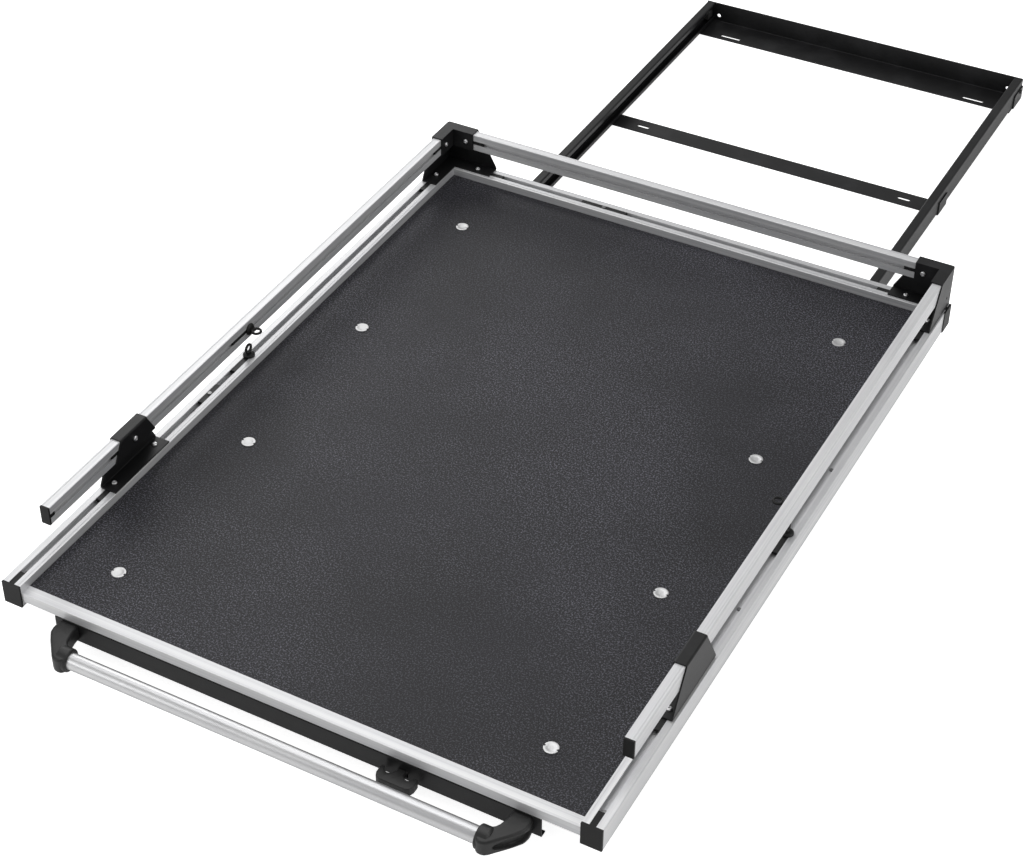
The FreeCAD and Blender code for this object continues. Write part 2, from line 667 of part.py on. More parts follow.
def deck_profile(inner, outer, centre):
    """Section of the side and cab-end extrusions, with the slot in the top and a hollow."""
    wall = dim.side_wall
    slot = t_slot(centre, SIDE_TOP, dim.slot_gap, dim.slot_lip, dim.slot_cavity, dim.slot_depth)
    left, right = (inner, outer) if inner.value < outer.value else (outer, inner)
    turn = 1.0 if left is inner else -1.0
    fine = fine_groove(inner + dim.groove_inset * turn, SIDE_TOP)
    before, after = ([], fine) if left is inner else (fine, [])
    shell = Outline((left, DECK_LOW, 1.0), (right, DECK_LOW, 1.0), (right, SIDE_TOP, 1.0),
                    *before, *slot, *after, (left, SIDE_TOP, 1.0))
    roof = SIDE_TOP - dim.slot_lip - dim.slot_depth - wall
    return [shell, box(left + wall, DECK_LOW + wall, right - wall, roof)]


def side_extrusion(name, side):
    """A hollow side extrusion with a T-slot along its top."""
    part = SubPart(name, DECK)
    part.add("front", deck_profile(SIDE_INNER * side, dim.deck_width / 2 * side, SLOT_X * side),
             DECK_FRONT, BOARD_HALF)
    return part


def rear_extrusion():
    """The same section across the cab end, the side extrusions butting against it."""
    part = SubPart("rear_extrusion", DECK)
    part.add("side", deck_profile(BOARD_HALF, DECK_REAR, REAR_SLOT_Y), -REAR_HALF, REAR_HALF)
    return part


def front_crossbar():
    """The low hollow bar across the front of the board."""
    part = SubPart("front_crossbar", DECK)
    wall = dim.side_wall
    low, high = DECK_FRONT, -BOARD_HALF
    part.add("side", [
        Outline((low, CROSSBAR_LOW, 1.5), (high, CROSSBAR_LOW, 1.5), (high, CROSSBAR_TOP, 1.5),
                (low, CROSSBAR_TOP, 1.5)),
        box(low + wall, CROSSBAR_LOW + wall, high - wall, CROSSBAR_TOP - wall),
    ], -SIDE_INNER, SIDE_INNER)
    return part


def side_end_caps():
    """Four moulded caps on the deck's extrusions, each with a tongue in the slot and a plug."""
    part = SubPart("side_end_caps", DECK)
    for _, side in SIDES:
        edges = ordered(SIDE_INNER * side, dim.deck_width / 2 * side)
        end_cap(part, "front", edges, SLOT_X * side, DECK_FRONT, -1.0)
        end_cap(part, "side", (BOARD_HALF, DECK_REAR), REAR_SLOT_Y, REAR_HALF * side, side)
    return part


def end_cap(part, plane, edges, centre, end, out):
    """A plate over the end of an extrusion, its tongue in the slot and its plug in the hollow."""
    wall = dim.side_wall + 0.3
    roof = SIDE_TOP - dim.slot_lip - dim.slot_depth - wall - 0.3
    half = dim.slot_gap / 2 - dim.slot_fit
    plate = ordered(end, end + dim.cap_thick * out)
    part.add(plane, [Outline((edges[0], DECK_LOW, 1.0), (edges[1], DECK_LOW, 1.0),
                             (edges[1], SIDE_TOP, 1.0), (edges[0], SIDE_TOP, 1.0))],
             plate[0], plate[1])
    tongue = ordered(end, end - dim.cap_tongue * out)
    part.add(plane, [box(centre - half, SIDE_TOP - dim.slot_lip - dim.slot_depth,
                         centre + half, SIDE_TOP - 0.8)], tongue[0], tongue[1])
    plug = ordered(end, end - 12.0 * out)
    part.add(plane, [box(edges[0] + wall, DECK_LOW + wall, edges[1] - wall, roof)],
             plug[0], plug[1])


def bar_profile(inner, outer):
    """Section of an upper rail: a flat bar shape, with its slot in the inner face."""
    into = 1.0 if outer.value > inner.value else -1.0
    lip = dim.bar_wall * into
    back = (dim.bar_wall + dim.bar_slot_depth) * into
    gap, cavity = dim.bar_slot_gap / 2, dim.bar_slot_cavity / 2
    mid = BAR_MIDDLE
    shell = Outline(
        (outer, BAR_LOW, 1.5), (outer, BAR_TOP, 1.5),
        *fine_groove(outer - dim.groove_inset * into, BAR_TOP, -into), (inner, BAR_TOP, 1.5),
        (inner, mid + gap), (inner + lip, mid + gap), (inner + lip, mid + cavity),
        (inner + back, mid + cavity), (inner + back, mid - cavity), (inner + lip, mid - cavity),
        (inner + lip, mid - gap), (inner, mid - gap), (inner, BAR_LOW, 1.5))
    wall = dim.bar_wall * into
    return [shell, box(inner + back + wall, BAR_LOW + dim.bar_wall, outer - wall,
                       BAR_TOP - dim.bar_wall)]


def upper_rail(name, side):
    """A side rail above the deck, its slot facing the load."""
    part = SubPart(name, DECK)
    part.add("front", bar_profile(BAR_INNER * side, BAR_OUTER * side),
             DECK_FRONT + dim.bar_setback, DECK_REAR)
    return part


def upper_rail_rear():
    """The rail across the cab end, between the side rails."""
    part = SubPart("upper_rail_rear", DECK)
    part.add("side", bar_profile(BAR_REAR_INNER, DECK_REAR), -BAR_INNER, BAR_INNER)
    return part


def rail_end_caps():
    """Two moulded caps on the front ends of the side rails."""
    part = SubPart("rail_end_caps", DECK)
    front = DECK_FRONT + dim.bar_setback
    for _, side in SIDES:
        edges = ordered(BAR_INNER * side, BAR_OUTER * side)
        part.add("front", [Outline((edges[0], BAR_LOW, 1.0), (edges[1], BAR_LOW, 1.0),
                                   (edges[1], BAR_TOP, 1.0), (edges[0], BAR_TOP, 1.0))],
                 front - dim.cap_thick, front)
        reach = (dim.bar_wall * 2 + dim.bar_slot_depth + 0.3)
        plug = ordered((BAR_INNER + reach) * side, (BAR_OUTER - dim.bar_wall - 0.3) * side)
        part.add("front", [box(plug[0], BAR_LOW + dim.bar_wall + 0.3, plug[1],
                               BAR_TOP - dim.bar_wall - 0.3)], front, front + 14)
        half = dim.bar_slot_gap / 2 - dim.slot_fit
        tongue = ordered(BAR_INNER * side, (BAR_INNER + dim.bar_wall + dim.bar_slot_depth) * side)
        part.add("front", [box(tongue[0], BAR_MIDDLE - half, tongue[1], BAR_MIDDLE + half)],
                 front, front + 12)
    return part


def deck_board():
    """The board, drilled for its eight bolts."""
    part = SubPart("deck_board", DECK)
    half = SIDE_INNER - dim.board_fit
    part.add("top", [box(-half, -BOARD_HALF + dim.board_fit, half, BOARD_HALF - dim.board_fit)],
             BOARD_LOW, BOARD_TOP)
    part.cut("top", [Circle(DISC_X * side, along, dim.deck_bolt_radius + 0.3)
                     for _, side in SIDES for along in MEMBER_YS], BOARD_LOW - 1, BOARD_TOP + 1)
    return part


def deck_bolts():
    """Eight bolts with broad flat heads, each head with two small notches for a key."""
    part = SubPart("deck_bolts", DECK)
    spots = [(DISC_X * side, along) for _, side in SIDES for along in MEMBER_YS]
    part.add("top", [Circle(across, along, dim.disc_radius) for across, along in spots],
             BOARD_TOP, BOARD_TOP + dim.disc_thick)
    part.add("top", [Circle(across, along, dim.deck_bolt_radius) for across, along in spots],
             DECK_LOW - 10, BOARD_TOP)
    notches = []
    for across, along in spots:
        for turn in (-1.0, 1.0):
            edge = across + dim.disc_radius * turn
            low, high = ordered(edge - 3.0 * turn, edge + 1.0 * turn)
            notches.append(box(low, along - 2, high, along + 2))
    part.cut("top", notches, BOARD_TOP - 0.5, BOARD_TOP + dim.disc_thick + 1)
    return part


def hexagon(across, along, flat_radius):
    """A six-sided outline with its corners on the sketch's second axis."""
    corner = flat_radius / math.cos(math.pi / 6)
    return Outline(*[(across + corner * math.sin(math.pi / 3 * step),
                      along + corner * math.cos(math.pi / 3 * step)) for step in range(6)])


def deck_bolt_nuts():
    """Nuts of the deck bolts, under the cross members."""
    part = SubPart("deck_bolt_nuts", DECK)
    spots = [(DISC_X * side, along) for _, side in SIDES for along in MEMBER_YS]
    part.add("top", [hexagon(across, along, dim.deck_bolt_radius + 2.5)
                     for across, along in spots], DECK_LOW - 6.5, DECK_LOW)
    part.cut("top", [Circle(across, along, dim.deck_bolt_radius) for across, along in spots],
             DECK_LOW - 8, DECK_LOW + 1)
    return part


def cross_member(number, along):
    """A square-cornered tube under the board; all but the last carry a guide for the rod."""
    part = SubPart("cross_member_%d" % number, DECK)
    half, wall = dim.member_width / 2, dim.member_wall
    low, high = along - half, along + half
    part.add("side", [
        Outline((low, DECK_LOW, 2.0), (high, DECK_LOW, 2.0), (high, BOARD_LOW, 2.0),
                (low, BOARD_LOW, 2.0)),
        box(low + wall, DECK_LOW + wall, high - wall, BOARD_LOW - wall),
    ], -SIDE_INNER, SIDE_INNER)
    part.cut("top", [Circle(DISC_X * side, along, dim.deck_bolt_radius + 0.3)
                     for _, side in SIDES], DECK_LOW - 1, BOARD_LOW + 1)
    if number < 4:
        tab = 12.0
        tip = dim.trigger_height - tab
        part.add("front", [Outline(
            (dim.trigger_x - tab, tip), (dim.trigger_x + tab, tip),
            (dim.trigger_x + tab, DECK_LOW), (dim.trigger_x - tab, DECK_LOW))],
            along - dim.steel / 2, along + dim.steel / 2)
        part.cut("front", [Circle(dim.trigger_x, dim.trigger_height, dim.rod_radius + 0.3)],
                 along - dim.steel, along + dim.steel)
    return part


def deck_runner(name, side):
    """A folded channel under the deck, open towards the base rail beside it."""
    part = SubPart(name, DECK)
    inner, outer = RUNNER_INNER * side, RUNNER_OUTER * side
    web = (RUNNER_INNER + dim.steel) * side
    part.add("front", [Outline(
        (inner, RUNNER_LOW, dim.bend), (outer, RUNNER_LOW), (outer, RUNNER_LOW + dim.steel),
        (web, RUNNER_LOW + dim.steel, INNER_BEND), (web, DECK_LOW - dim.steel, INNER_BEND),
        (outer, DECK_LOW - dim.steel), (outer, DECK_LOW), (inner, DECK_LOW, dim.bend),
    )], PLATE_FRONT + dim.plate_flange, DECK_REAR - dim.steel * 4)
    faces = ordered(inner, web)
    holes = [Circle(DECK_ROLLER_Y, DECK_ROLLER_Z, dim.axle_radius)]
    if side > 0:
        holes.append(Circle(LATCH_Y, dim.latch_height, dim.rod_radius + dim.bore_fit))
    part.cut("side", holes, faces[0] - 1, faces[1] + 1)
    return part


def front_plate():
    """The folded channel that hangs below the crossbar and carries handle and trigger."""
    part = SubPart("front_plate", DECK)
    front = PLATE_FRONT
    inner, back = front + dim.steel, front + dim.plate_flange
    top = CROSSBAR_LOW
    part.add("side", [Outline(
        (front, PLATE_LOW, dim.bend), (back, PLATE_LOW), (back, PLATE_LOW + dim.steel),
        (inner, PLATE_LOW + dim.steel, INNER_BEND), (inner, top - dim.steel, INNER_BEND),
        (back, top - dim.steel), (back, top), (front, top, dim.bend),
    )], -dim.plate_half, dim.plate_half)
    stem = dim.stem_half + 0.5
    high = dim.trigger_thick / 2 - 2.0 + 0.5
    part.cut("front", [box(dim.trigger_x - stem, dim.trigger_height - high,
                           dim.trigger_x + stem, dim.trigger_height + high)],
             front - 1, inner + 1)
    return part


def handle_tube():
    """The aluminium tube that the user pulls."""
    part = SubPart("handle_tube", (0, DECK_Y + TUBE_Y, dim.tube_height))
    part.add("side", [Circle(0, 0, dim.tube_radius), Circle(0, 0, dim.tube_radius - dim.tube_wall)],
             -dim.tube_half, dim.tube_half)
    part.cut("top", [Circle((dim.tube_half - dim.collar_length / 2) * side, 0, 2.6)
                     for _, side in SIDES], -dim.tube_radius - 1, -dim.tube_radius / 2)
    return part


def handle_arm(name, side):
    """A cast arm from the front plate to the end of the tube, with a collar round it."""
    part = SubPart(name, (0, DECK_Y + PLATE_FRONT, dim.tube_height))
    face = (dim.tube_half - dim.collar_length) * side
    closed = (dim.tube_half + 4) * side
    outside = (dim.plate_half - dim.arm_inset) * side
    root = (dim.tube_half + 13) * side
    reach = -dim.tube_reach
    thick = dim.tube_radius + 1
    front = reach - dim.collar_radius - 1.5
    ends = ordered(face, closed)
    part.add("side", [Circle(reach, 0, dim.collar_radius)], ends[0], ends[1])
    part.add("top", [Outline(
        (face + 3 * side, reach + dim.collar_radius - 6), (root - 5 * side, reach + 18),
        (root, reach + 30), (root, -8), (root - 3 * side, 0), (outside, 0),
        (outside + 5 * side, -28), (outside + 4 * side, -48), (closed + 10 * side, front),
        (face + 8 * side, front), (face + 3 * side, front + 5),
    )], -thick, thick)
    part.cut("top", [Outline(
        (outside + 8 * side, -8), (outside + 8 * side, -50), (closed + 17 * side, reach - 19),
        (closed + 10 * side, reach - 12), (outside - 4 * side, -45), (outside - 7 * side, -8),
    )], -dim.arm_pocket, dim.arm_pocket)
    part.cut("side", [Circle(reach, 0, dim.tube_radius + 0.1)], *sorted(
        (face - 1 * side, dim.tube_half * side), key=lambda end: end.value))
    part.cut("top", [Circle((dim.tube_half - dim.collar_length / 2) * side, reach, 2.6)],
             -dim.collar_radius - 1, -dim.tube_radius + 1)
    return part


def handle_screws():
    """Screws that hold the tube in its collars and the arms to the plate."""
    part = SubPart("handle_screws", DECK)
    for _, side in SIDES:
        across = (dim.tube_half - dim.collar_length / 2) * side
        low = dim.tube_height - dim.collar_radius
        part.add("top", [Circle(across, TUBE_Y, 2.5)], low - 2, low + 5)
        across = (dim.plate_half - dim.arm_inset - 20) * side
        part.add("front", [Circle(across, dim.tube_height, 4.0)],
                 PLATE_FRONT + dim.steel, PLATE_FRONT + dim.steel + 4)
    return part


def trigger():
    """The two-finger release: a bar on three prongs, the middle one running through the plate."""
    part = SubPart("release_trigger", (dim.trigger_x, DECK_Y + PLATE_FRONT, dim.trigger_height))
    half = dim.trigger_half
    front = -dim.trigger_reach
    back = front + dim.trigger_depth
    low, high = dim.trigger_thick / -2, dim.trigger_thick / 2
    part.add("top", [Outline((-half, front, 12.0), (half, front, 12.0), (half, back, 3.0),
                             (-half, back, 3.0))], low, high)
    notch = dim.finger_width / 2
    centre = dim.stem_half + notch
    floor = front + 12 + notch
    part.cut("top", [Circle(centre * side, floor, notch) for _, side in SIDES],
             low - 1, high + 1)
    part.cut("top", [box(centre * side - notch, floor, centre * side + notch, back + 1)
                     for _, side in SIDES], low - 1, high + 1)
    part.add("top", [box(-dim.stem_half, back - 1, dim.stem_half, dim.plate_flange + 6)],
             low + 2, high - 2)
    part.cut("front", [Circle(0, 0, dim.rod_radius)], dim.plate_flange - 8,
             dim.plate_flange + 7)
    return part


def bent_rod(part, plane, length, drop, radius, way=1.0):
    """A round rod from the body's origin along the plane's first axis, its far end bent down."""
    length, drop, turn = size(length) * way, size(drop), size(radius)
    bend = length - turn * way
    path = part.sketch(plane, [])
    run = path.addGeometry(Part.LineSegment(Vector(0, 0, 0), Vector(bend.value, 0, 0)))
    circle = Part.Circle(Vector(bend.value, -turn.value, 0), Vector(0, 0, 1), turn.value)
    begin = 0.0 if way > 0 else math.pi / 2
    arc = path.addGeometry(Part.ArcOfCircle(circle, begin, begin + math.pi / 2))
    fall = path.addGeometry(Part.LineSegment(Vector(length.value, -turn.value, 0),
                                             Vector(length.value, -drop.value, 0)))
    near, far = (2, 1) if way > 0 else (1, 2)
    path.addConstraint(Sketcher.Constraint("Coincident", run, 1, -1, 1))
    pin_point(path, run, 2, bend, 0)
    path.addConstraint(Sketcher.Constraint("Tangent", run, 2, arc, near))
    path.addConstraint(Sketcher.Constraint("Tangent", arc, far, fall, 1))
    path.addConstraint(Sketcher.Constraint("Radius", arc, turn.value))
    pin_point(path, fall, 2, length, -drop)
    across = "front" if plane == "side" else "side"
    return part.sweep(part.sketch(across, [Circle(0, 0, dim.rod_radius)]), path)


def pull_rod():
    """The rod from the trigger to the bell crank, its end bent down through the crank."""
    start = PLATE_FRONT + dim.plate_flange - 8
    part = SubPart("pull_rod", (dim.trigger_x, DECK_Y + start, dim.trigger_height))
    bent_rod(part, "side", CRANK_Y - start, 17, 8)
    return part


def latch_pin():
    """The spring-loaded pin that rides on the lip of the right base rail and drops into it."""
    nose = RUNNER_OUTER + dim.side_gap - dim.roller_fit
    part = SubPart("latch_pin", (nose, DECK_Y + LATCH_Y, dim.latch_height))
    bent_rod(part, "front", nose - CRANK_X, dim.latch_height - dim.trigger_height + 17, 8, -1.0)
    collar = RUNNER_INNER - 16 - nose
    part.add("side", [Circle(0, 0, dim.rod_radius + 3)], collar - 4, collar)
    return part


def latch_guide():
    """A folded bracket behind the last cross member that guides the pin and holds its spring."""
    part = SubPart("latch_guide", DECK)
    web = CRANK_X + 26
    low = CRANK_Y + dim.member_width / 2
    part.add("front", [Outline(
        (web, dim.latch_height - 12), (web + dim.steel, dim.latch_height - 12),
        (web + dim.steel, DECK_LOW + 12), (web, DECK_LOW + 12))], low, low + 26)
    part.add("front", [box(web - 20, DECK_LOW, web + dim.steel, DECK_LOW + 12)],
             low, low + dim.steel)
    part.cut("side", [Circle(LATCH_Y, dim.latch_height, dim.rod_radius + dim.bore_fit)],
             web - 1, web + dim.steel + 1)
    return part


def latch_spring():
    """The coil round the pin, between the guide and the pin's collar."""
    start = CRANK_X + 26 + dim.steel
    end = RUNNER_INNER - 20
    wire, turns = 1.1, 5
    mean = dim.rod_radius.value + wire + 0.4
    length = end.value - start.value
    rise = length - 2 * wire - 0.4
    helix = Part.makeHelix(rise / turns, rise, mean)
    ring = Part.Wire(Part.Circle(Vector(mean, 0, 0), Vector(0, 1, 0), wire).toShape())
    coil = Part.Wire(helix.Edges).makePipeShell([ring], True, True)
    feature = DOC.addObject("Part::Feature", "latch_spring")
    feature.Label = "latch_spring"
    feature.Shape = coil
    feature.Placement = Placement(
        Vector(start.value + wire + 0.2, (DECK_Y + LATCH_Y).value, dim.latch_height.value),
        Rotation(Vector(0, 1, 0), 90))
    SUB_PARTS.append(feature)
    return feature


def bell_crank():
    """A flat plate with two slotted arms that turns the rod's pull into the pin's."""
    part = SubPart("bell_crank", (CRANK_X, DECK_Y + CRANK_Y, dim.trigger_height - 12))
    arm, half = dim.crank_arm, dim.rod_radius + 5
    low, high = size(0), dim.crank_thick
    part.add("top", [Outline(
        (half, -half, 8.0), (half, arm + half, 8.0), (-half, arm + half, 8.0), (-half, half, 3.0),
        (-arm - half, half, 8.0), (-arm - half, -half, 8.0))], low, high)
    part.cut("top", [Circle(0, 0, dim.rod_radius + dim.bore_fit)], low - 1, high + 1)
    width = dim.rod_radius + 0.6
    part.cut("top", [Slot(-arm, 0, width * 2 + 4, width),
                     Slot(0, arm, width * 2 + 4, width, upright=True)], low - 1, high + 1)
    return part


def crank_pivot():
    """The shouldered bolt under the last cross member that the crank turns on."""
    part = SubPart("crank_pivot", (CRANK_X, DECK_Y + CRANK_Y, 0))
    low = dim.trigger_height - 12
    part.add("top", [Circle(0, 0, dim.rod_radius)], low - 1, DECK_LOW)
    part.add("top", [Circle(0, 0, dim.rod_radius + 3)], low + dim.crank_thick + 0.3, DECK_LOW)
    part.add("top", [Circle(0, 0, dim.rod_radius + 3)], low - 4, low - 0.3)
    return part


def side_bracket(name, side):
    """One folded sheet: foot on the extrusion, web outside the rail, top and lip round it."""
    part = SubPart(name, DECK)
    sheet = dim.steel
    outer, rail = (BAR_OUTER + sheet) * side, BAR_OUTER * side
    lip, bar = (BAR_INNER - sheet) * side, BAR_INNER * side
    foot = (BAR_OUTER + sheet - dim.bracket_foot) * side
    half_foot, half_top = dim.side_bracket_foot / 2, dim.side_bracket_top / 2
    middle = SIDE_BRACKET_Y[side]
    part.add("front", [Outline(
        (foot, SIDE_TOP), (outer, SIDE_TOP, dim.bend), (outer, BAR_TOP + sheet, dim.bend),
        (lip, BAR_TOP + sheet, dim.bend), (lip, BAR_LOW), (bar, BAR_LOW),
        (bar, BAR_TOP, INNER_BEND), (rail, BAR_TOP, INNER_BEND),
        (rail, SIDE_TOP + sheet, INNER_BEND), (foot, SIDE_TOP + sheet),
    )], middle - half_foot, middle + half_foot)
    across = ordered(outer + 1 * side, foot - 1 * side)
    for turn in (-1.0, 1.0):
        far = middle + (half_foot + 1) * turn
        part.cut("side", [Outline(
            (middle + half_foot * turn, SIDE_TOP + sheet + 4), (far, SIDE_TOP + sheet + 4),
            (far, BAR_TOP + sheet + 2), (middle + half_top * turn, BAR_TOP + sheet + 2),
            (middle + half_top * turn, BAR_TOP + sheet - 4),
        )], across[0], across[1])
    clear = dim.screw_radius + 0.2
    part.cut("top", [Circle(SLOT_X * side, middle + (half_foot - dim.foot_screw_inset) * turn, clear)
                     for turn in (-1.0, 1.0)], SIDE_TOP - 1, SIDE_TOP + sheet + 1)
    lips = ordered(lip - 1 * side, bar + 1 * side)
    part.cut("side", [Circle(middle, BAR_MIDDLE, clear)], lips[0], lips[1])
    return part


def corner_bracket(name, side):
    """The folded cab-end bracket: it wraps both rails and stands on both extrusions."""
    part = SubPart(name, DECK)
    sheet = dim.steel
    out_x, out_y = BAR_OUTER + sheet, DECK_REAR + sheet
    in_x, in_y = BAR_INNER - sheet, BAR_REAR_INNER - sheet
    top, foot = BAR_TOP + sheet, SIDE_TOP
    arm, base = dim.corner_top, dim.corner_foot

    def span(low, high):
        return ordered(low * side, high * side)

    edge = dim.corner_round
    part.add("top", [Outline(
        (out_x * side, out_y, edge), (out_x * side, out_y - base), (BAR_OUTER * side, out_y - base),
        (BAR_OUTER * side, DECK_REAR), ((out_x - base) * side, DECK_REAR),
        ((out_x - base) * side, out_y))], foot, top)
    slope = base - arm
    edges = span(BAR_OUTER - 1, out_x + 1)
    part.cut("side", [Outline((out_y - base - 1, foot + sheet + 2), (out_y - base, foot + sheet + 2),
                              (out_y - base + slope, top), (out_y - base + slope, top + 1),
                              (out_y - base - 1, top + 1))], edges[0], edges[1])
    part.cut("front", [Outline(
        ((out_x - base - 1) * side, foot + sheet + 2), ((out_x - base) * side, foot + sheet + 2),
        ((out_x - base + slope) * side, top), ((out_x - base + slope) * side, top + 1),
        ((out_x - base - 1) * side, top + 1))], DECK_REAR - 1, out_y + 1)
    part.add("top", [Outline(
        (out_x * side, out_y, edge), (out_x * side, out_y - arm), (in_x * side, out_y - arm),
        (in_x * side, in_y), ((out_x - arm) * side, in_y), ((out_x - arm) * side, out_y))],
        BAR_TOP, top)
    edges = span(in_x, BAR_INNER)
    part.add("side", [box(out_y - arm, BAR_LOW, in_y + sheet, top)], edges[0], edges[1])
    edges = span(out_x - arm, BAR_INNER)
    part.add("front", [box(edges[0], BAR_LOW, edges[1], top)], in_y, in_y + sheet)
    reach = dim.bracket_foot
    part.add("top", [Outline(
        (out_x * side, out_y, edge), (out_x * side, out_y - base),
        ((out_x - reach) * side, out_y - base),
        ((out_x - reach) * side, out_y - reach), ((out_x - base) * side, out_y - reach),
        ((out_x - base) * side, out_y))], foot, foot + sheet)
    clear = dim.screw_radius + 0.2
    part.cut("top", [Circle(SLOT_X * side, out_y - base + dim.corner_screw_inset, clear),
                     Circle((out_x - base + dim.corner_screw_inset) * side, REAR_SLOT_Y, clear)],
             foot - 1, foot + sheet + 1)
    edges = span(BAR_OUTER - 1, out_x + 1)
    part.cut("side", [Circle(out_y - dim.web_screw_inset, BAR_LOW - dim.web_screw_drop,
                             dim.screw_radius)], edges[0], edges[1])
    edges = span(in_x - 1, BAR_INNER + 1)
    part.cut("side", [Circle(out_y - arm + dim.lip_screw_inset, BAR_MIDDLE, clear)], edges[0], edges[1])
    part.cut("front", [Circle((out_x - arm + dim.lip_screw_inset) * side, BAR_MIDDLE, clear)],
             in_y - 1, in_y + sheet + 1)
    return part


def screw_spots():
    """Every bracket screw: the plane it is drawn on, its spot, its seat and its way out."""
    spots = []
    out_x, out_y = BAR_OUTER + dim.steel, DECK_REAR + dim.steel
    foot_seat = SIDE_TOP + dim.steel
    for _, side in SIDES:
        for turn in (-1.0, 1.0):
            reach = dim.side_bracket_foot / 2 - dim.foot_screw_inset
            along = SIDE_BRACKET_Y[side] + reach * turn
            spots.append(("top", (SLOT_X * side, along), foot_seat, 1.0))
        lip_seat = (BAR_INNER - dim.steel) * side
        spots.append(("side", (SIDE_BRACKET_Y[side], BAR_MIDDLE), lip_seat, -side))
        spots.append(("side", (out_y - dim.corner_top + dim.lip_screw_inset, BAR_MIDDLE), lip_seat, -side))
        spots.append(("front", ((out_x - dim.corner_top + dim.lip_screw_inset) * side, BAR_MIDDLE),
                      BAR_REAR_INNER - dim.steel, -1.0))
        spots.append(("top", (SLOT_X * side, out_y - dim.corner_foot + dim.corner_screw_inset), foot_seat, 1.0))
        spots.append(("top", ((out_x - dim.corner_foot + dim.corner_screw_inset) * side, REAR_SLOT_Y),
                      foot_seat, 1.0))
    return spots


def screw(part, plane, spot, seat, out):
    """A round-headed screw with its head on a seat, standing out along one axis."""
    head = ordered(seat, seat + dim.screw_head * out)
    part.add(plane, [Circle(spot[0], spot[1], dim.screw_head_radius)], head[0], head[1])
    shank = ordered(seat, seat - (dim.steel + 5.5) * out)
    part.add(plane, [Circle(spot[0], spot[1], dim.screw_radius)], shank[0], shank[1])


def bracket_screws():
    """The screws that hold the four brackets."""
    part = SubPart("bracket_screws", DECK)
    for plane, spot, seat, out in screw_spots():
        screw(part, plane, spot, seat, out)
    along, up = DECK_REAR + dim.steel - dim.web_screw_inset, BAR_LOW - dim.web_screw_drop
    for _, side in SIDES:
        head = ordered(BAR_OUTER * side, (BAR_OUTER - dim.screw_head + 1) * side)
        part.add("side", [Circle(along, up, dim.web_screw_radius)], head[0], head[1])
        shank = ordered(BAR_OUTER * side, (BAR_OUTER + dim.steel) * side)
        part.add("side", [Circle(along, up, dim.screw_radius)], shank[0], shank[1])
    return part


def strip_section(centre, face, gap, lip, cavity, fit, into):
    """Section of a nut strip in a slot: a neck in the mouth and a wide foot behind the lips."""
    neck, wide = gap / 2 - fit, cavity / 2 - fit
    top = face + 0.8 * into
    shoulder = face + (lip + fit) * into
    bottom = shoulder + 3.6 * into
    return ((centre - neck, top), (centre + neck, top), (centre + neck, shoulder),
            (centre + wide, shoulder), (centre + wide, bottom), (centre - wide, bottom),
            (centre - wide, shoulder), (centre - neck, shoulder))


def floor_strip(part, side, low, high):
    """A nut strip in the top slot of a side extrusion."""
    section = strip_section(SLOT_X * side, SIDE_TOP, dim.slot_gap, dim.slot_lip,
                            dim.slot_cavity, dim.slot_fit, -1.0)
    part.add("front", [Outline(*section)], low, high)


def rear_floor_strip(part, low, high):
    """A nut strip in the top slot of the cab-end extrusion."""
    section = strip_section(REAR_SLOT_Y, SIDE_TOP, dim.slot_gap, dim.slot_lip,
                            dim.slot_cavity, dim.slot_fit, -1.0)
    part.add("side", [Outline(*section)], low, high)


def bar_strip(part, side, low, high):
    """A nut strip in the inner slot of a side rail."""
    section = strip_section(BAR_MIDDLE, BAR_INNER * side, dim.bar_slot_gap, dim.bar_wall,
                            dim.bar_slot_cavity, dim.slot_fit, side)
    part.add("front", [Outline(*[(across, up) for up, across in section])], low, high)


def rear_bar_strip(part, low, high):
    """A nut strip in the inner slot of the cab-end rail."""
    section = strip_section(BAR_MIDDLE, BAR_REAR_INNER, dim.bar_slot_gap, dim.bar_wall,
                            dim.bar_slot_cavity, dim.slot_fit, 1.0)
    part.add("side", [Outline(*[(along, up) for up, along in section])], low, high)


def drill_strips(part, spots):
    """Screw holes through nut strips."""
    for plane, spot, seat, out in spots:
        reach = ordered(seat + 1 * out, seat - (dim.steel + 14) * out)
        part.cut(plane, [Circle(spot[0], spot[1], dim.screw_radius)], reach[0], reach[1])


def bracket_nut_strips():
    """The strips in the slots that the bracket screws go into."""
    part = SubPart("bracket_nut_strips", DECK)
    foot, top = dim.side_bracket_foot / 2, dim.side_bracket_top / 2
    out_x, out_y = BAR_OUTER + dim.steel, DECK_REAR + dim.steel
    past_foot, past_lip = dim.strip_past_foot, dim.strip_past_lip
    inner_foot, inner_lip = dim.bracket_foot + dim.strip_short, dim.bar_width + dim.steel * 5
    for _, side in SIDES:
        middle = SIDE_BRACKET_Y[side]
        floor_strip(part, side, middle - foot - past_foot, middle + foot - dim.slot_fit * 20)
        bar_strip(part, side, middle - top - past_lip, middle + top - dim.strip_short)
        floor_strip(part, side, out_y - dim.corner_foot - past_foot, out_y - inner_foot)
        bar_strip(part, side, out_y - dim.corner_top - past_lip, out_y - inner_lip)
        ends = ordered((out_x - dim.corner_foot - past_foot) * side, (out_x - inner_foot) * side)
        rear_floor_strip(part, ends[0], ends[1])
        ends = ordered((out_x - dim.corner_top - past_lip) * side, (out_x - inner_lip) * side)
        rear_bar_strip(part, ends[0], ends[1])
    drill_strips(part, screw_spots())
    return part


def insert_spots():
    """Screws of the two spare nut strips."""
    return [("top", (-dim.rear_insert_x, REAR_SLOT_Y), SIDE_TOP - 0.8, 1.0),
            ("top", (-SLOT_X, dim.left_insert_y), SIDE_TOP - 0.8, 1.0)]


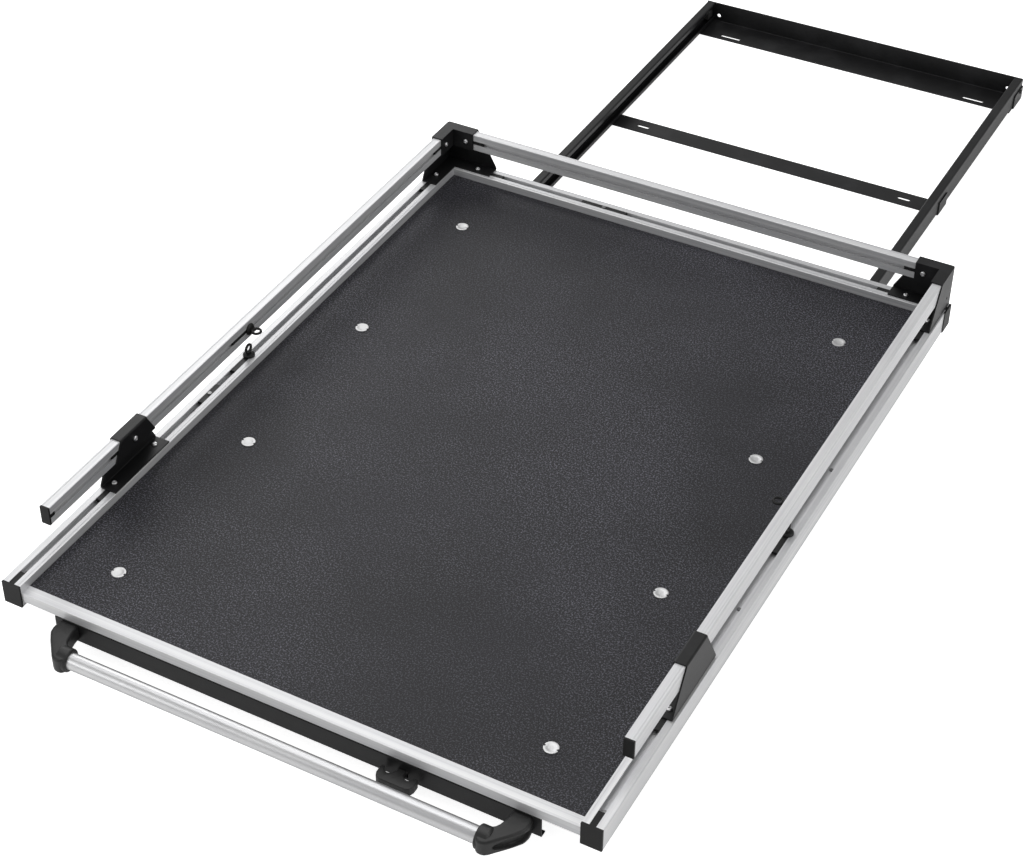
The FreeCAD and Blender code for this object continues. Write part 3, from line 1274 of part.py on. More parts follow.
def slot_inserts():
    """Two spare nut strips, one in the cab-end slot and one in the left slot."""
    part = SubPart("slot_inserts", DECK)
    rear_floor_strip(part, -dim.rear_insert_x - dim.rear_insert_half,
                     -dim.rear_insert_x + dim.rear_insert_half)
    floor_strip(part, -1.0, dim.left_insert_y - dim.left_insert_half,
                dim.left_insert_y + dim.left_insert_half)
    drill_strips(part, insert_spots())
    return part


def slot_screws():
    """Small screws on the slots' floor, and the two that hold the spare strips."""
    part = SubPart("slot_screws", DECK)
    seat = SIDE_TOP - dim.slot_lip - dim.slot_depth
    spots = (DECK_FRONT + dim.slot_screw_front, dim.slot_screw_middle, dim.slot_screw_rear)
    part.add("top", [Circle(SLOT_X * side, along, 4.0) for _, side in SIDES
                     for along in spots], seat, seat + 2.5)
    for plane, spot, top, out in insert_spots():
        part.add("top", [Circle(spot[0], spot[1], 4.5)], top, top + 2)
        part.add("top", [Circle(spot[0], spot[1], dim.screw_radius)], seat + 1, top)
    return part


def tie_down_eye(name, side, upper):
    """A cast eye: a domed foot, a neck, a ring and a stud. Upper rings lie flat, lower stand."""
    ring, bar, boss = dim.eye_ring_radius, dim.eye_bar_radius, dim.eye_boss
    base, rim = dim.roller_fit, dim.eye_rim
    dome = [(base, 0), (base, dim.eye_boss_radius)]
    for step in range(5):
        turn = math.pi / 2 * step / 5
        dome.append((base + rim + (boss - rim) * math.sin(turn),
                     dim.eye_boss_radius * math.cos(turn)))
    dome += [(base + boss, dim.eye_neck_radius * 0.8), (base + boss + bar, dim.eye_neck_radius * 0.8),
             (base + boss + bar, 0)]
    centre = boss + ring + bar - 1.5
    if upper:
        out = -side
        part = SubPart(name, (BAR_INNER * side, DECK_Y + EYE_Y[side], BAR_MIDDLE))
        part.turn("front", [Outline(*[(away * out, wide) for away, wide in dome])], "H_Axis")
        low, high = ordered(-6.0 * out, (base + 1) * out)
        part.add("side", [Circle(0, 0, dim.screw_radius)], low, high)
        part.turn("front", [Circle(ring, 0, bar)], "V_Axis", middle=(centre * out, 0))
    else:
        part = SubPart(name, (SLOT_X * side, DECK_Y + EYE_Y[side], SIDE_TOP))
        part.turn("front", [Outline(*[(wide, away) for away, wide in dome])], "V_Axis")
        part.add("top", [Circle(0, 0, dim.screw_radius)], -6.0, base + 1)
        part.turn("front", [Circle(0, ring, bar)], "H_Axis", middle=(0, centre))
    return part


def eye_strip(name, side, upper):
    """The nut strip that clamps a tie-down eye in its slot and slides with it."""
    part = SubPart(name, DECK)
    place = EYE_Y[side]
    low, high = place - dim.eye_strip_front, place + dim.eye_strip_rear
    if upper:
        bar_strip(part, side, low, high)
        spot = ("side", (place, BAR_MIDDLE), BAR_INNER * side, -side)
    else:
        floor_strip(part, side, low, high)
        spot = ("top", (SLOT_X * side, place), SIDE_TOP, 1.0)
    drill_strips(part, [spot])
    return part


def build():
    """Make every sub-part."""
    for label, side in SIDES:
        base_rail("base_rail_%s" % label, side)
    base_angle()
    base_strap("base_middle_strap", dim.middle_strap_y)
    base_strap("base_front_strap", BASE_FRONT + dim.front_strap_inset)
    base_axles()
    stop_pins()
    end_bumpers()
    for label, side in SIDES:
        roller("base_roller_%s" % label, side, BASE_ROLLER_X, BASE_ROLLER_Y, BASE_ROLLER_Z)
        roller("deck_roller_%s" % label, side, DECK_ROLLER_X, DECK_Y + DECK_ROLLER_Y,
               DECK_ROLLER_Z)
        deck_runner("deck_runner_%s" % label, side)
        side_extrusion("side_extrusion_%s" % label, side)
        upper_rail("upper_rail_%s" % label, side)
        side_bracket("side_bracket_%s" % label, side)
        corner_bracket("corner_bracket_%s" % label, side)
        handle_arm("handle_arm_%s" % label, side)
        for level, upper in (("upper", True), ("lower", False)):
            tie_down_eye("tie_down_%s_%s" % (level, label), side, upper)
            eye_strip("tie_down_strip_%s_%s" % (level, label), side, upper)
    deck_axles()
    deck_board()
    rear_extrusion()
    front_crossbar()
    upper_rail_rear()
    side_end_caps()
    rail_end_caps()
    deck_bolts()
    deck_bolt_nuts()
    for number, along in enumerate(MEMBER_YS, start=1):
        cross_member(number, along)
    front_plate()
    handle_tube()
    handle_screws()
    bracket_screws()
    bracket_nut_strips()
    slot_inserts()
    slot_screws()
    trigger()
    pull_rod()
    bell_crank()
    crank_pivot()
    latch_pin()
    latch_guide()
    latch_spring()


def check_and_write():
    """Stop on any failed feature or empty shape, then write one file for each sub-part."""
    DOC.recompute()
    for thing in DOC.Objects:
        if "Invalid" in thing.State or "Error" in thing.State:
            raise RuntimeError("%s failed: %s" % (thing.Label, thing.State))
        if thing.TypeId == "PartDesign::Pocket":
            before = thing.BaseFeature.Shape.Volume
            if thing.Shape.Volume > before - 0.01:
                raise RuntimeError("%s cuts nothing" % thing.Label)
    os.makedirs("parts", exist_ok=True)
    for part in SUB_PARTS:
        shape = part.Shape
        if shape.isNull() or not shape.isValid():
            raise RuntimeError("%s has no valid shape" % part.Label)
        shape.exportStep("parts/%s.step" % part.Label)
        print("%-28s solids %2d volume %10.0f" % (part.Label, len(shape.Solids), shape.Volume))


build()
check_and_write()
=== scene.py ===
"""Looks of the truck bed slide: its finishes, its small turned and cast pieces, and the studio."""

from __future__ import annotations

import logging
import math
from dataclasses import dataclass, field
from enum import Enum
from typing import Any, Iterable, Sequence, Union

import bmesh
import bpy
import numpy as np
from mathutils import Matrix, Vector

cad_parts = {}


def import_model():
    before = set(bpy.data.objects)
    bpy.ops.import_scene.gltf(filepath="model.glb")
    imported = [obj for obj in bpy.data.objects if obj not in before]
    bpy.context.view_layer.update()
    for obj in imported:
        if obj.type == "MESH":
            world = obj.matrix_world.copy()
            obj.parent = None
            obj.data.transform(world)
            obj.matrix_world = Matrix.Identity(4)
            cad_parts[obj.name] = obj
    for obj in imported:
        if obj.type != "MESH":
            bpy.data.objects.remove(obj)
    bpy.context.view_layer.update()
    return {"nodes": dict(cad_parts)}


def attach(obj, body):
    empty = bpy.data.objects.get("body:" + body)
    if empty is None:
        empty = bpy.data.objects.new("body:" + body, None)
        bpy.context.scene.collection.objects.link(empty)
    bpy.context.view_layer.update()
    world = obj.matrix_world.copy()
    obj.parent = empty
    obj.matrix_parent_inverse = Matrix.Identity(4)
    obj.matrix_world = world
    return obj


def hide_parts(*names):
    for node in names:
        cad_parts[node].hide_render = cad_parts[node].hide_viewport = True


LOG = logging.getLogger("truck_bed_slide")
Triple = tuple[float, float, float]
Number = Union[float, "Shade"]
SIDES = (("left", -1.0), ("right", 1.0))
UPWARD = (0.0, 0.0, 1.0)
# Along the truck, in metres: the deck's own origin, and the face of its front plate.
DECK_Y = -1.8245
PLATE_Y = DECK_Y - 0.812


class Run(Enum):
    """The way an extruded or drawn piece was pushed through its die."""

    ACROSS = "x"
    ALONG = "y"


class Shade:
    """A node socket that takes part in arithmetic; each operation adds a Math node."""

    def __init__(self, tree: "FinishTree", socket: bpy.types.NodeSocket) -> None:
        """Wrap one output socket.

        Args:
            tree: the tree that the socket belongs to.
            socket: the output socket.
        """
        self.tree = tree
        self.socket = socket

    def _math(self, operation: str, *values: Number) -> "Shade":
        """Add one Math node.

        Args:
            operation: the Math node's operation.
            values: its operands in order.

        Returns:
            The node's result.
        """
        inputs = {index: value for index, value in enumerate(values)}
        return self.tree.node("ShaderNodeMath", {"operation": operation}, inputs)

    def __add__(self, other: Number) -> "Shade":
        """Sum."""
        return self._math("ADD", self, other)

    __radd__ = __add__

    def __sub__(self, other: Number) -> "Shade":
        """Difference."""
        return self._math("SUBTRACT", self, other)

    def __rsub__(self, other: Number) -> "Shade":
        """Difference, the other way round."""
        return self._math("SUBTRACT", other, self)

    def __mul__(self, other: Number) -> "Shade":
        """Product."""
        return self._math("MULTIPLY", self, other)

    __rmul__ = __mul__

    def above(self, edge: float, soft: float) -> "Shade":
        """A soft step.

        Args:
            edge: the value where the step is half way.
            soft: half the width of the step.

        Returns:
            0 below the edge and 1 above it.
        """
        settings = {"interpolation_type": "SMOOTHSTEP"}
        values = {"Value": self, "From Min": edge - soft, "From Max": edge + soft}
        return self.tree.node("ShaderNodeMapRange", settings, values)


class FinishTree:
    """A material's node tree with one method that makes any node."""

    def __init__(self, name: str) -> None:
        """Start an empty material.

        Args:
            name: the material's name.
        """
        self.material = bpy.data.materials.new(name)
        self.material.use_nodes = True
        self.nodes = self.material.node_tree.nodes
        self.links = self.material.node_tree.links
        self.nodes.clear()

    def node(
        self,
        kind: str,
        settings: dict[str, Any] | None = None,
        values: dict[Any, Any] | None = None,
        output: int | str = 0,
    ) -> Shade:
        """Add a node.

        Args:
            kind: the node's type.
            settings: properties, set before the sockets.
            values: numbers, colours or links for its sockets, by name or index.
            output: the output to return.

        Returns:
            The chosen output, wrapped.
        """
        made = self.nodes.new(kind)
        for key, value in (settings or {}).items():
            setattr(made, key, value)
        for key, value in (values or {}).items():
            socket = made.inputs[key]
            if isinstance(value, Shade):
                self.links.new(value.socket, socket)
            else:
                socket.default_value = value
        return Shade(self, made.outputs[output] if made.outputs else None)

    def point(self, scale: Triple = (1.0, 1.0, 1.0)) -> Shade:
        """Object coordinates, stretched.

        Args:
            scale: multiplies each axis.

        Returns:
            The point as a vector.
        """
        place = self.node("ShaderNodeTexCoord", output="Object")
        return self.node("ShaderNodeMapping", values={"Vector": place, "Scale": scale})

    def noise(self, where: Shade, scale: float, detail: float = 3.0, rough: float = 0.5) -> Shade:
        """Fractal noise.

        Args:
            where: the point it is read at.
            scale: cells in a metre.
            detail: octaves.
            rough: how strong the finer octaves are.

        Returns:
            A value about 0.5.
        """
        values = {"Vector": where, "Scale": scale, "Detail": detail, "Roughness": rough}
        return self.node("ShaderNodeTexNoise", values=values)

    def blend(self, mask: Shade, low: Triple, high: Triple) -> Shade:
        """Mix two colours.

        Args:
            mask: 0 gives the first and 1 the second.
            low: the first colour.
            high: the second colour.

        Returns:
            The mixed colour.
        """
        mix = self.nodes.new("ShaderNodeMix")
        mix.data_type = "RGBA"
        self.links.new(mask.socket, mix.inputs["Factor"])
        colours = [socket for socket in mix.inputs if socket.type == "RGBA"]
        colours[0].default_value = (*low, 1.0)
        colours[1].default_value = (*high, 1.0)
        result = [socket for socket in mix.outputs if socket.type == "RGBA"]
        return Shade(self, result[0])

    def bump(self, height: Shade, strength: float, distance: float) -> Shade:
        """A bump from a height.

        Args:
            height: the height, about 0 to 1.
            strength: 0 to 1.
            distance: what a height of 1 stands for, in metres.

        Returns:
            The normal.
        """
        values = {"Height": height, "Strength": strength, "Distance": distance}
        return self.node("ShaderNodeBump", values=values)

    def surface(self, **sockets: Any) -> bpy.types.Material:
        """Close the material with a Principled surface.

        Args:
            sockets: the shader's sockets, with underscores for spaces.

        Returns:
            The finished material.
        """
        values = {key.replace("_", " "): value for key, value in sockets.items()}
        shader = self.node("ShaderNodeBsdfPrincipled", values=values)
        self.node("ShaderNodeOutputMaterial", values={"Surface": shader})
        return self.material


@dataclass(frozen=True)
class SatinAluminium:
    """Anodised extrusion: fine die lines along it, faint cloudiness and a soft sheen."""

    name: str = "satin_aluminium"
    run: Run = Run.ALONG
    tone: float = 0.72
    rough: float = 0.48
    metal: float = 0.55

    def material(self) -> bpy.types.Material:
        """The finish.

        Returns:
            The material.
        """
        tree = FinishTree(f"{self.name}_{self.run.value}")
        fine, slow = 1.0, 0.004
        stretch = (slow, fine, fine) if self.run is Run.ACROSS else (fine, slow, fine)
        lines = tree.noise(tree.point(stretch), 900.0, 4.0, 0.6)
        bands = tree.noise(tree.point(stretch), 170.0, 2.0, 0.6)
        cloud = tree.noise(tree.point(), 7.0, 3.0)
        specks = tree.noise(tree.point(), 420.0, 2.0).above(0.68, 0.04)
        mask = (cloud - 0.5) * 0.5 + (lines - 0.5) * 0.7 + (bands - 0.5) * 1.8 + 0.5
        low = (self.tone * 0.80, self.tone * 0.805, self.tone * 0.83)
        high = (min(self.tone * 1.08, 1.0),) * 3
        rough = self.rough + (lines - 0.5) * 0.22 + (cloud - 0.5) * 0.10 + specks * 0.05
        return tree.surface(
            Base_Color=tree.blend(mask, low, high),
            Metallic=self.metal,
            Roughness=rough,
            Normal=tree.bump(lines, 0.35, 0.00006),
        )


@dataclass(frozen=True)
class PowderCoat:
    """Black powder coat on folded steel: orange peel, a soft gloss and a little dust."""

    name: str = "powder_coat"
    tone: float = 0.008
    rough: float = 0.42
    gloss: float = 0.30

    def material(self) -> bpy.types.Material:
        """The finish.

        Returns:
            The material.
        """
        tree = FinishTree(self.name)
        peel = tree.noise(tree.point(), 620.0, 2.0, 0.45)
        dust = tree.noise(tree.point(), 11.0, 4.0, 0.6)
        mask = dust.above(0.58, 0.14)
        low = (self.tone, self.tone, self.tone * 1.06)
        high = (self.tone * 2.0, self.tone * 2.0, self.tone * 2.1)
        return tree.surface(
            Base_Color=tree.blend(mask, low, high),
            Roughness=self.rough + (dust - 0.5) * 0.16 + (peel - 0.5) * 0.08,
            Specular_IOR_Level=self.gloss,
            Normal=tree.bump(peel, 0.30, 0.0003),
        )


@dataclass(frozen=True)
class PhenolicFilm:
    """The deck board's dark film, pressed with a fine non-slip grain."""

    name: str = "phenolic_film"
    dark: float = 0.006
    light: float = 0.150
    rough: float = 0.50
    gloss: float = 0.28

    def material(self) -> bpy.types.Material:
        """The finish.

        Returns:
            The material.
        """
        tree = FinishTree(self.name)
        where = tree.point()
        pebbles = tree.node(
            "ShaderNodeTexVoronoi",
            {"feature": "F1"},
            {"Vector": where, "Scale": 300.0, "Randomness": 1.0},
        )
        grain = tree.noise(where, 520.0, 3.0, 0.65)
        wear = tree.noise(where, 3.2, 4.0, 0.55)
        patch = tree.noise(where, 2.1, 3.0, 0.5).above(0.50, 0.16)
        crumbs = tree.noise(where, 300.0, 2.0, 0.85).above(0.57, 0.035)
        height = (1.0 - pebbles) * 0.6 + grain * 0.6
        mask = crumbs * (patch * 0.58 + 0.32) + (wear - 0.5) * 0.14 + grain * 0.05
        low = (self.dark, self.dark, self.dark * 1.30)
        high = (self.light, self.light * 0.99, self.light * 1.20)
        return tree.surface(
            Base_Color=tree.blend(mask, low, high),
            Roughness=self.rough + (wear - 0.5) * 0.12 + (grain - 0.5) * 0.20,
            Specular_IOR_Level=self.gloss,
            Normal=tree.bump(height, 0.70, 0.0009),
        )


@dataclass(frozen=True)
class Moulding:
    """Black moulded plastic with a fine spark grain."""

    name: str = "black_moulding"
    tone: float = 0.007
    rough: float = 0.50
    gloss: float = 0.22

    def material(self) -> bpy.types.Material:
        """The finish.

        Returns:
            The material.
        """
        tree = FinishTree(self.name)
        grain = tree.noise(tree.point(), 1500.0, 2.0, 0.5)
        cloud = tree.noise(tree.point(), 40.0, 3.0)
        low = (self.tone * 0.9,) * 3
        high = (self.tone * 1.7,) * 3
        return tree.surface(
            Base_Color=tree.blend(cloud * 0.6 + grain * 0.4, low, high),
            Roughness=self.rough + (grain - 0.5) * 0.18 + (cloud - 0.5) * 0.10,
            Specular_IOR_Level=self.gloss,
            Normal=tree.bump(grain, 0.35, 0.00015),
        )


@dataclass(frozen=True)
class Plating:
    """Bright zinc or ground steel: faint turning marks and small stains."""

    name: str = "bright_plating"
    tone: float = 0.74
    rough: float = 0.28
    marks: float = 0.05

    def material(self) -> bpy.types.Material:
        """The finish.

        Returns:
            The material.
        """
        tree = FinishTree(self.name)
        fine = tree.noise(tree.point(), 800.0, 3.0, 0.6)
        stain = tree.noise(tree.point(), 60.0, 3.0)
        low = (self.tone * 0.86, self.tone * 0.86, self.tone * 0.87)
        high = (min(self.tone * 1.08, 1.0),) * 3
        return tree.surface(
            Base_Color=tree.blend(stain * 0.7 + fine * 0.3, low, high),
            Metallic=1.0,
            Roughness=self.rough + (stain - 0.5) * 0.14 + (fine - 0.5) * 0.10,
            Normal=tree.bump(fine, self.marks * 4.0, 0.00005),
        )


@dataclass(frozen=True)
class Rubber:
    """Matt black rubber with a fine skin."""

    name: str = "bumper_rubber"

    def material(self) -> bpy.types.Material:
        """The finish.

        Returns:
            The material.
        """
        tree = FinishTree(self.name)
        skin = tree.noise(tree.point(), 700.0, 3.0, 0.6)
        mask = tree.noise(tree.point(), 30.0, 3.0)
        return tree.surface(
            Base_Color=tree.blend(mask, (0.012,) * 3, (0.024,) * 3),
            Roughness=0.72 + (skin - 0.5) * 0.2,
            Normal=tree.bump(skin, 0.3, 0.0003),
        )


@dataclass
class Skin:
    """Collects tubes of points into the mesh of one piece."""

    name: str
    points: list[np.ndarray] = field(default_factory=list)
    faces: list[list[int]] = field(default_factory=list)
    count: int = 0

    def tube(self, sheet: np.ndarray, loop: bool = False) -> None:
        """Add a tube: rows run along it and columns run round it and close on themselves.

        Args:
            sheet: points, shape (rows, columns, 3).
            loop: the last row joins the first one; otherwise flat faces close both.
        """
        rows, columns = sheet.shape[:2]
        index = self.count + np.arange(rows * columns).reshape(rows, columns)
        near = index if loop else index[:-1]
        far = np.roll(index, -1, axis=0) if loop else index[1:]
        corners = [near, np.roll(near, -1, axis=1), np.roll(far, -1, axis=1), far]
        self.faces += np.stack(corners, axis=-1).reshape(-1, 4).tolist()
        if not loop:
            self.faces += [index[0][::-1].tolist(), index[-1].tolist()]
        self.points.append(sheet.reshape(-1, 3))
        self.count += rows * columns

    def piece(self, sharp_deg: float = 40.0) -> bpy.types.Object:
        """Make the object, smooth but for edges sharper than an angle.

        Args:
            sharp_deg: the angle.

        Returns:
            The object, at the origin.
        """
        mesh = bpy.data.meshes.new(self.name)
        mesh.from_pydata(np.concatenate(self.points).tolist(), [], self.faces)
        work = bmesh.new()
        work.from_mesh(mesh)
        bmesh.ops.recalc_face_normals(work, faces=work.faces)
        work.to_mesh(mesh)
        work.free()
        mesh.polygons.foreach_set("use_smooth", np.ones(len(mesh.polygons), dtype=bool))
        mesh.set_sharp_from_angle(angle=math.radians(sharp_deg))
        made = bpy.data.objects.new(self.name, mesh)
        bpy.context.scene.collection.objects.link(made)
        return made


def turned(along: Any, radius: Any, origin: Triple, axis: Triple, columns: int = 48) -> np.ndarray:
    """A turned form: each row is a ring round the axis, at its own distance along it.

    The point at angle a of a row is origin + along * axis + radius * (cos a * e1 + sin a * e2),
    where e1 and e2 are square to the axis and to each other.

    Args:
        along: distance of each row along the axis.
        radius: radius of each row, or of each row and column.
        origin: where the axis starts.
        axis: its direction, one of the frame's own.
        columns: points in a row.

    Returns:
        The points, shape (rows, columns, 3).
    """
    way = np.array(axis, dtype=float)
    first = np.roll(np.abs(way), 1)
    second = np.cross(way, first)
    angle = np.arange(columns) * 2.0 * np.pi / columns
    spread = np.cos(angle)[:, None] * first + np.sin(angle)[:, None] * second
    radius = np.asarray(radius, dtype=float)
    if radius.ndim == 1:
        radius = np.repeat(radius[:, None], columns, axis=1)
    along = np.asarray(along, dtype=float)
    return np.array(origin) + along[:, None, None] * way + radius[:, :, None] * spread


@dataclass(frozen=True)
class ButtonHead:
    """A low domed screw head with a six-sided socket."""

    radius: float = 0.0055
    height: float = 0.0034
    socket: float = 0.0024
    columns: int = 48

    def add_to(self, skin: Skin, seat: Triple, out: Triple) -> None:
        """Add the head: a dome whose radius falls as a cosine, and a hexagonal well in it.

        Args:
            skin: the piece it becomes part of.
            seat: the middle of its underside.
            out: the way it faces.
        """
        angle = np.arange(self.columns) * 2.0 * np.pi / self.columns
        hexagon = self.socket / np.cos(np.mod(angle, np.pi / 3.0) - np.pi / 6.0)
        turn = np.linspace(0.0, 1.0, 9)
        along = 0.22 * self.height + 0.78 * self.height * np.sin(turn * np.pi / 2.0)
        dome = self.radius * np.cos(turn * 0.98)
        ring = np.ones(self.columns)
        rows = [self.radius * ring] + [value * ring for value in dome]
        rows += [hexagon * 1.06, hexagon, hexagon]
        well = [self.height, self.height * 0.93, self.height * 0.4]
        levels = np.concatenate([[0.0], along, well])
        skin.tube(turned(levels, np.array(rows), seat, out, self.columns))


@dataclass(frozen=True)
class DeckBolt:
    """A broad flat head with an eased rim and two key notches, on its shank."""

    radius: float = 0.014
    thick: float = 0.002
    shank: float = 0.004
    length: float = 0.043
    notch_half: float = 0.0019
    notch_deep: float = 0.0028
    columns: int = 144

    def add_to(self, skin: Skin, seat: Triple) -> None:
        """Add the bolt: rings whose radius steps in at the two notches, across the truck.

        Args:
            skin: the piece it becomes part of.
            seat: the middle of the head's underside.
        """
        angle = np.arange(self.columns) * 2.0 * np.pi / self.columns
        across = np.abs(self.radius * np.sin(angle))
        step = 1.0 - np.clip((across / self.notch_half - 0.85) / 0.3, 0.0, 1.0)
        rim = self.radius - self.notch_deep * step
        ring = np.ones(self.columns)
        ease = 0.0006
        rows = [self.shank * ring, self.shank * ring, rim - ease / 2, rim, rim,
                rim - ease / 2, rim - ease * 2, ring * self.radius * 0.62,
                ring * self.radius * 0.58, ring * self.radius * 0.22]
        top = self.thick
        levels = [-self.length, 0.0, 0.0, ease / 2, top - ease, top - ease * 0.3, top,
                  top, top - 0.00025, top - 0.00025]
        skin.tube(turned(levels, np.array(rows), seat, UPWARD, self.columns))


@dataclass(frozen=True)
class CastEye:
    """A tie-down eye: a domed foot that sweeps up into a neck, and a ring."""

    foot: float = 0.0125
    rim: float = 0.0025
    height: float = 0.007
    neck: float = 0.0040
    ring: float = 0.009
    bar: float = 0.003
    lift: float = 0.0003

    def build(self, name: str, place: Triple, out: Triple, across: Triple) -> bpy.types.Object:
        """Make the eye.

        The foot's radius falls as the cosine of its height, then the neck flares into the ring.
        The ring's bar thickens towards the neck as the fourth power of the cosine.

        Args:
            name: the piece's name.
            place: the middle of its foot's underside.
            out: the way it stands out.
            across: the ring's own axis.

        Returns:
            The piece.
        """
        skin = Skin(name)
        turn = np.linspace(0.0, 1.0, 15)
        dome = self.foot * np.cos(turn * np.pi / 2.0 * 0.86)
        rise = self.rim + (self.height - self.rim) * np.sin(turn * np.pi / 2.0)
        flare = self.neck + (dome[-1] - self.neck) * (1.0 - np.linspace(0.2, 1.0, 6)) ** 2
        climb = self.height + np.linspace(0.2, 1.0, 6) * self.bar * 1.1
        levels = np.concatenate([[0.0, self.rim * 0.15], rise, climb]) + self.lift
        rows = np.concatenate([[self.foot * 0.985, self.foot], dome, flare])
        skin.tube(turned(levels, rows, place, out, 56))
        centre = np.array(place) + np.array(out) * (self.height + self.ring + self.bar - 0.0015)
        side = np.cross(np.array(across), np.array(out))
        turn = np.arange(72) * 2.0 * np.pi / 72
        spoke = np.cos(turn)[:, None] * -np.array(out) + np.sin(turn)[:, None] * side
        thick = self.bar * (0.92 + 0.30 * np.maximum(np.cos(turn), 0.0) ** 4)
        round_bar = np.arange(28) * 2.0 * np.pi / 28
        reach = self.ring + thick[:, None] * np.cos(round_bar)
        lift = thick[:, None] * np.sin(round_bar)
        sheet = centre + reach[:, :, None] * spoke[:, None, :] + lift[:, :, None] * np.array(across)
        skin.tube(sheet, loop=True)
        return skin.piece()


@dataclass(frozen=True)
class SoftPlate:
    """A thick plate cut to a plan outline, all its edges rounded, as cast or moulded."""

    half: float
    edge: float
    blur: float = 0.0018
    step: float = 0.0008

    def outline(self, corners: Sequence[tuple[float, float]]) -> np.ndarray:
        """Even points along a polygon.

        Args:
            corners: the polygon, in metres.

        Returns:
            Points, shape (count, 2).
        """
        ring = np.array(list(corners) + [corners[0]])
        length = np.concatenate([[0.0], np.cumsum(np.hypot(*np.diff(ring, axis=0).T))])
        where = np.arange(int(length[-1] / self.step)) * self.step
        return np.stack([np.interp(where, length, ring[:, axis]) for axis in (0, 1)], axis=1)

    def inward(self, plan: np.ndarray, inset: float) -> tuple[np.ndarray, np.ndarray]:
        """The outline moved inwards, and softened more the further in it lies.

        Its corners turn round under a Gaussian blur, whose width grows with the inset so that
        the moved outline never crosses itself.

        Args:
            plan: even points along the outline.
            inset: how far in.

        Returns:
            The moved points and their outward normals.
        """
        wave = np.fft.fftfreq(len(plan), d=self.step)
        blur = np.hypot(self.blur, 1.3 * inset)
        soft = np.exp(-2.0 * (np.pi * wave * blur) ** 2)
        round_plan = np.real(np.fft.ifft(np.fft.fft(plan, axis=0) * soft[:, None], axis=0))
        ahead = np.roll(round_plan, -1, axis=0) - np.roll(round_plan, 1, axis=0)
        ahead /= np.linalg.norm(ahead, axis=1)[:, None]
        after = np.roll(plan, -1, axis=0)
        area = np.sum(plan[:, 0] * after[:, 1] - plan[:, 1] * after[:, 0])
        outward = np.stack([ahead[:, 1], -ahead[:, 0]], axis=1) * np.sign(area)
        return round_plan - inset * outward, outward

    def sheet(self, plan: np.ndarray, side_rows: int = 25) -> tuple[np.ndarray, np.ndarray]:
        """Rings from the underside, round the lower edge, up the side and over the upper edge.

        Args:
            plan: even points along the outline.
            side_rows: rings up the side.

        Returns:
            The points, shape (rows, count, 3), and the outline's outward normals.
        """
        turn = np.linspace(0.0, np.pi / 2.0, 6)
        inset = self.edge * (1.0 - np.sin(turn))
        level = -self.half + self.edge * (1.0 - np.cos(turn))
        straight = np.linspace(-self.half + self.edge, self.half - self.edge, side_rows)[1:-1]
        inset = np.concatenate([inset, np.zeros(len(straight)), inset[::-1]])
        level = np.concatenate([level, straight, -level[::-1]])
        flat = np.stack([self.inward(plan, value)[0] for value in inset])
        height = np.repeat(level[:, None, None], len(plan), axis=1)
        return np.concatenate([flat, height], axis=2), self.inward(plan, 0.0)[1]


@dataclass(frozen=True)
class HandleArm:
    """A cast arm with a collar round the tube's end and a long pocket in its outer side."""

    side: float
    collar: float = 0.0223
    bore: float = 0.0161
    face: float = 0.414
    closed: float = 0.438
    axis_y: float = -0.064
    axis_z: float = 0.049
    plate_y: float = PLATE_Y
    pocket_deep: float = 0.007
    pocket_half: float = 0.0105

    def build(self, name: str) -> bpy.types.Object:
        """Make the arm: a rounded plate, a pocket pressed into its outer side, and a collar.

        The pocket is a shift along the inward normal, by its depth times a smooth bump along
        the outline and another one up the side.

        Args:
            name: the piece's name.

        Returns:
            The piece.
        """
        corners = [(0.482, 0.002), (0.4855, -0.018), (0.483, -0.032), (0.470, -0.050),
                   (0.441, -0.084), (0.434, -0.0878), (0.423, -0.0878), (0.4155, -0.080),
                   (0.4155, -0.050), (0.434, -0.046), (0.440, -0.036), (0.4455, -0.012),
                   (0.4455, 0.002)]
        plate = SoftPlate(0.017, 0.0048, 0.0030)
        plan = plate.outline(corners)
        sheet, outward = plate.sheet(plan, 31)
        length = np.arange(len(plan)) * plate.step
        along = np.clip((length - 0.014) / 0.078, 0.0, 1.0)
        lens = np.sin(np.pi * along) ** 0.45
        level = np.abs(sheet[:, :, 2]) / np.maximum(self.pocket_half * lens, 1e-6)[None]
        press = np.clip((1.12 - level) / 0.24, 0.0, 1.0) * (lens > 0.05)
        press = press * press * (3.0 - 2.0 * press) * self.pocket_deep
        sheet[:, :, :2] -= press[:, :, None] * outward[None]
        skin = Skin(name)
        turn = np.linspace(0.0, np.pi / 2.0, 7)
        ease = 0.003
        start, end = self.face, self.closed
        levels = np.concatenate([[start + 0.012, start + 0.0006, start], start + 0.0004 + ease *
                                 (1.0 - np.cos(turn)), end - ease * np.cos(turn), [end]])
        radii = np.concatenate([[self.bore, self.bore, self.bore + 0.0006],
                                self.collar - ease * (1.0 - np.sin(turn)),
                                self.collar - ease * (1.0 - np.cos(turn)), [0.012]])
        ring = turned(levels, radii, (0.0, self.axis_y, 0.0), (1.0, 0.0, 0.0), 80)
        for part in (sheet, ring):
            placed = part * np.array([self.side, 1.0, 1.0])
            skin.tube(placed + np.array([0.0, self.plate_y, self.axis_z]))
        return skin.piece(35.0)


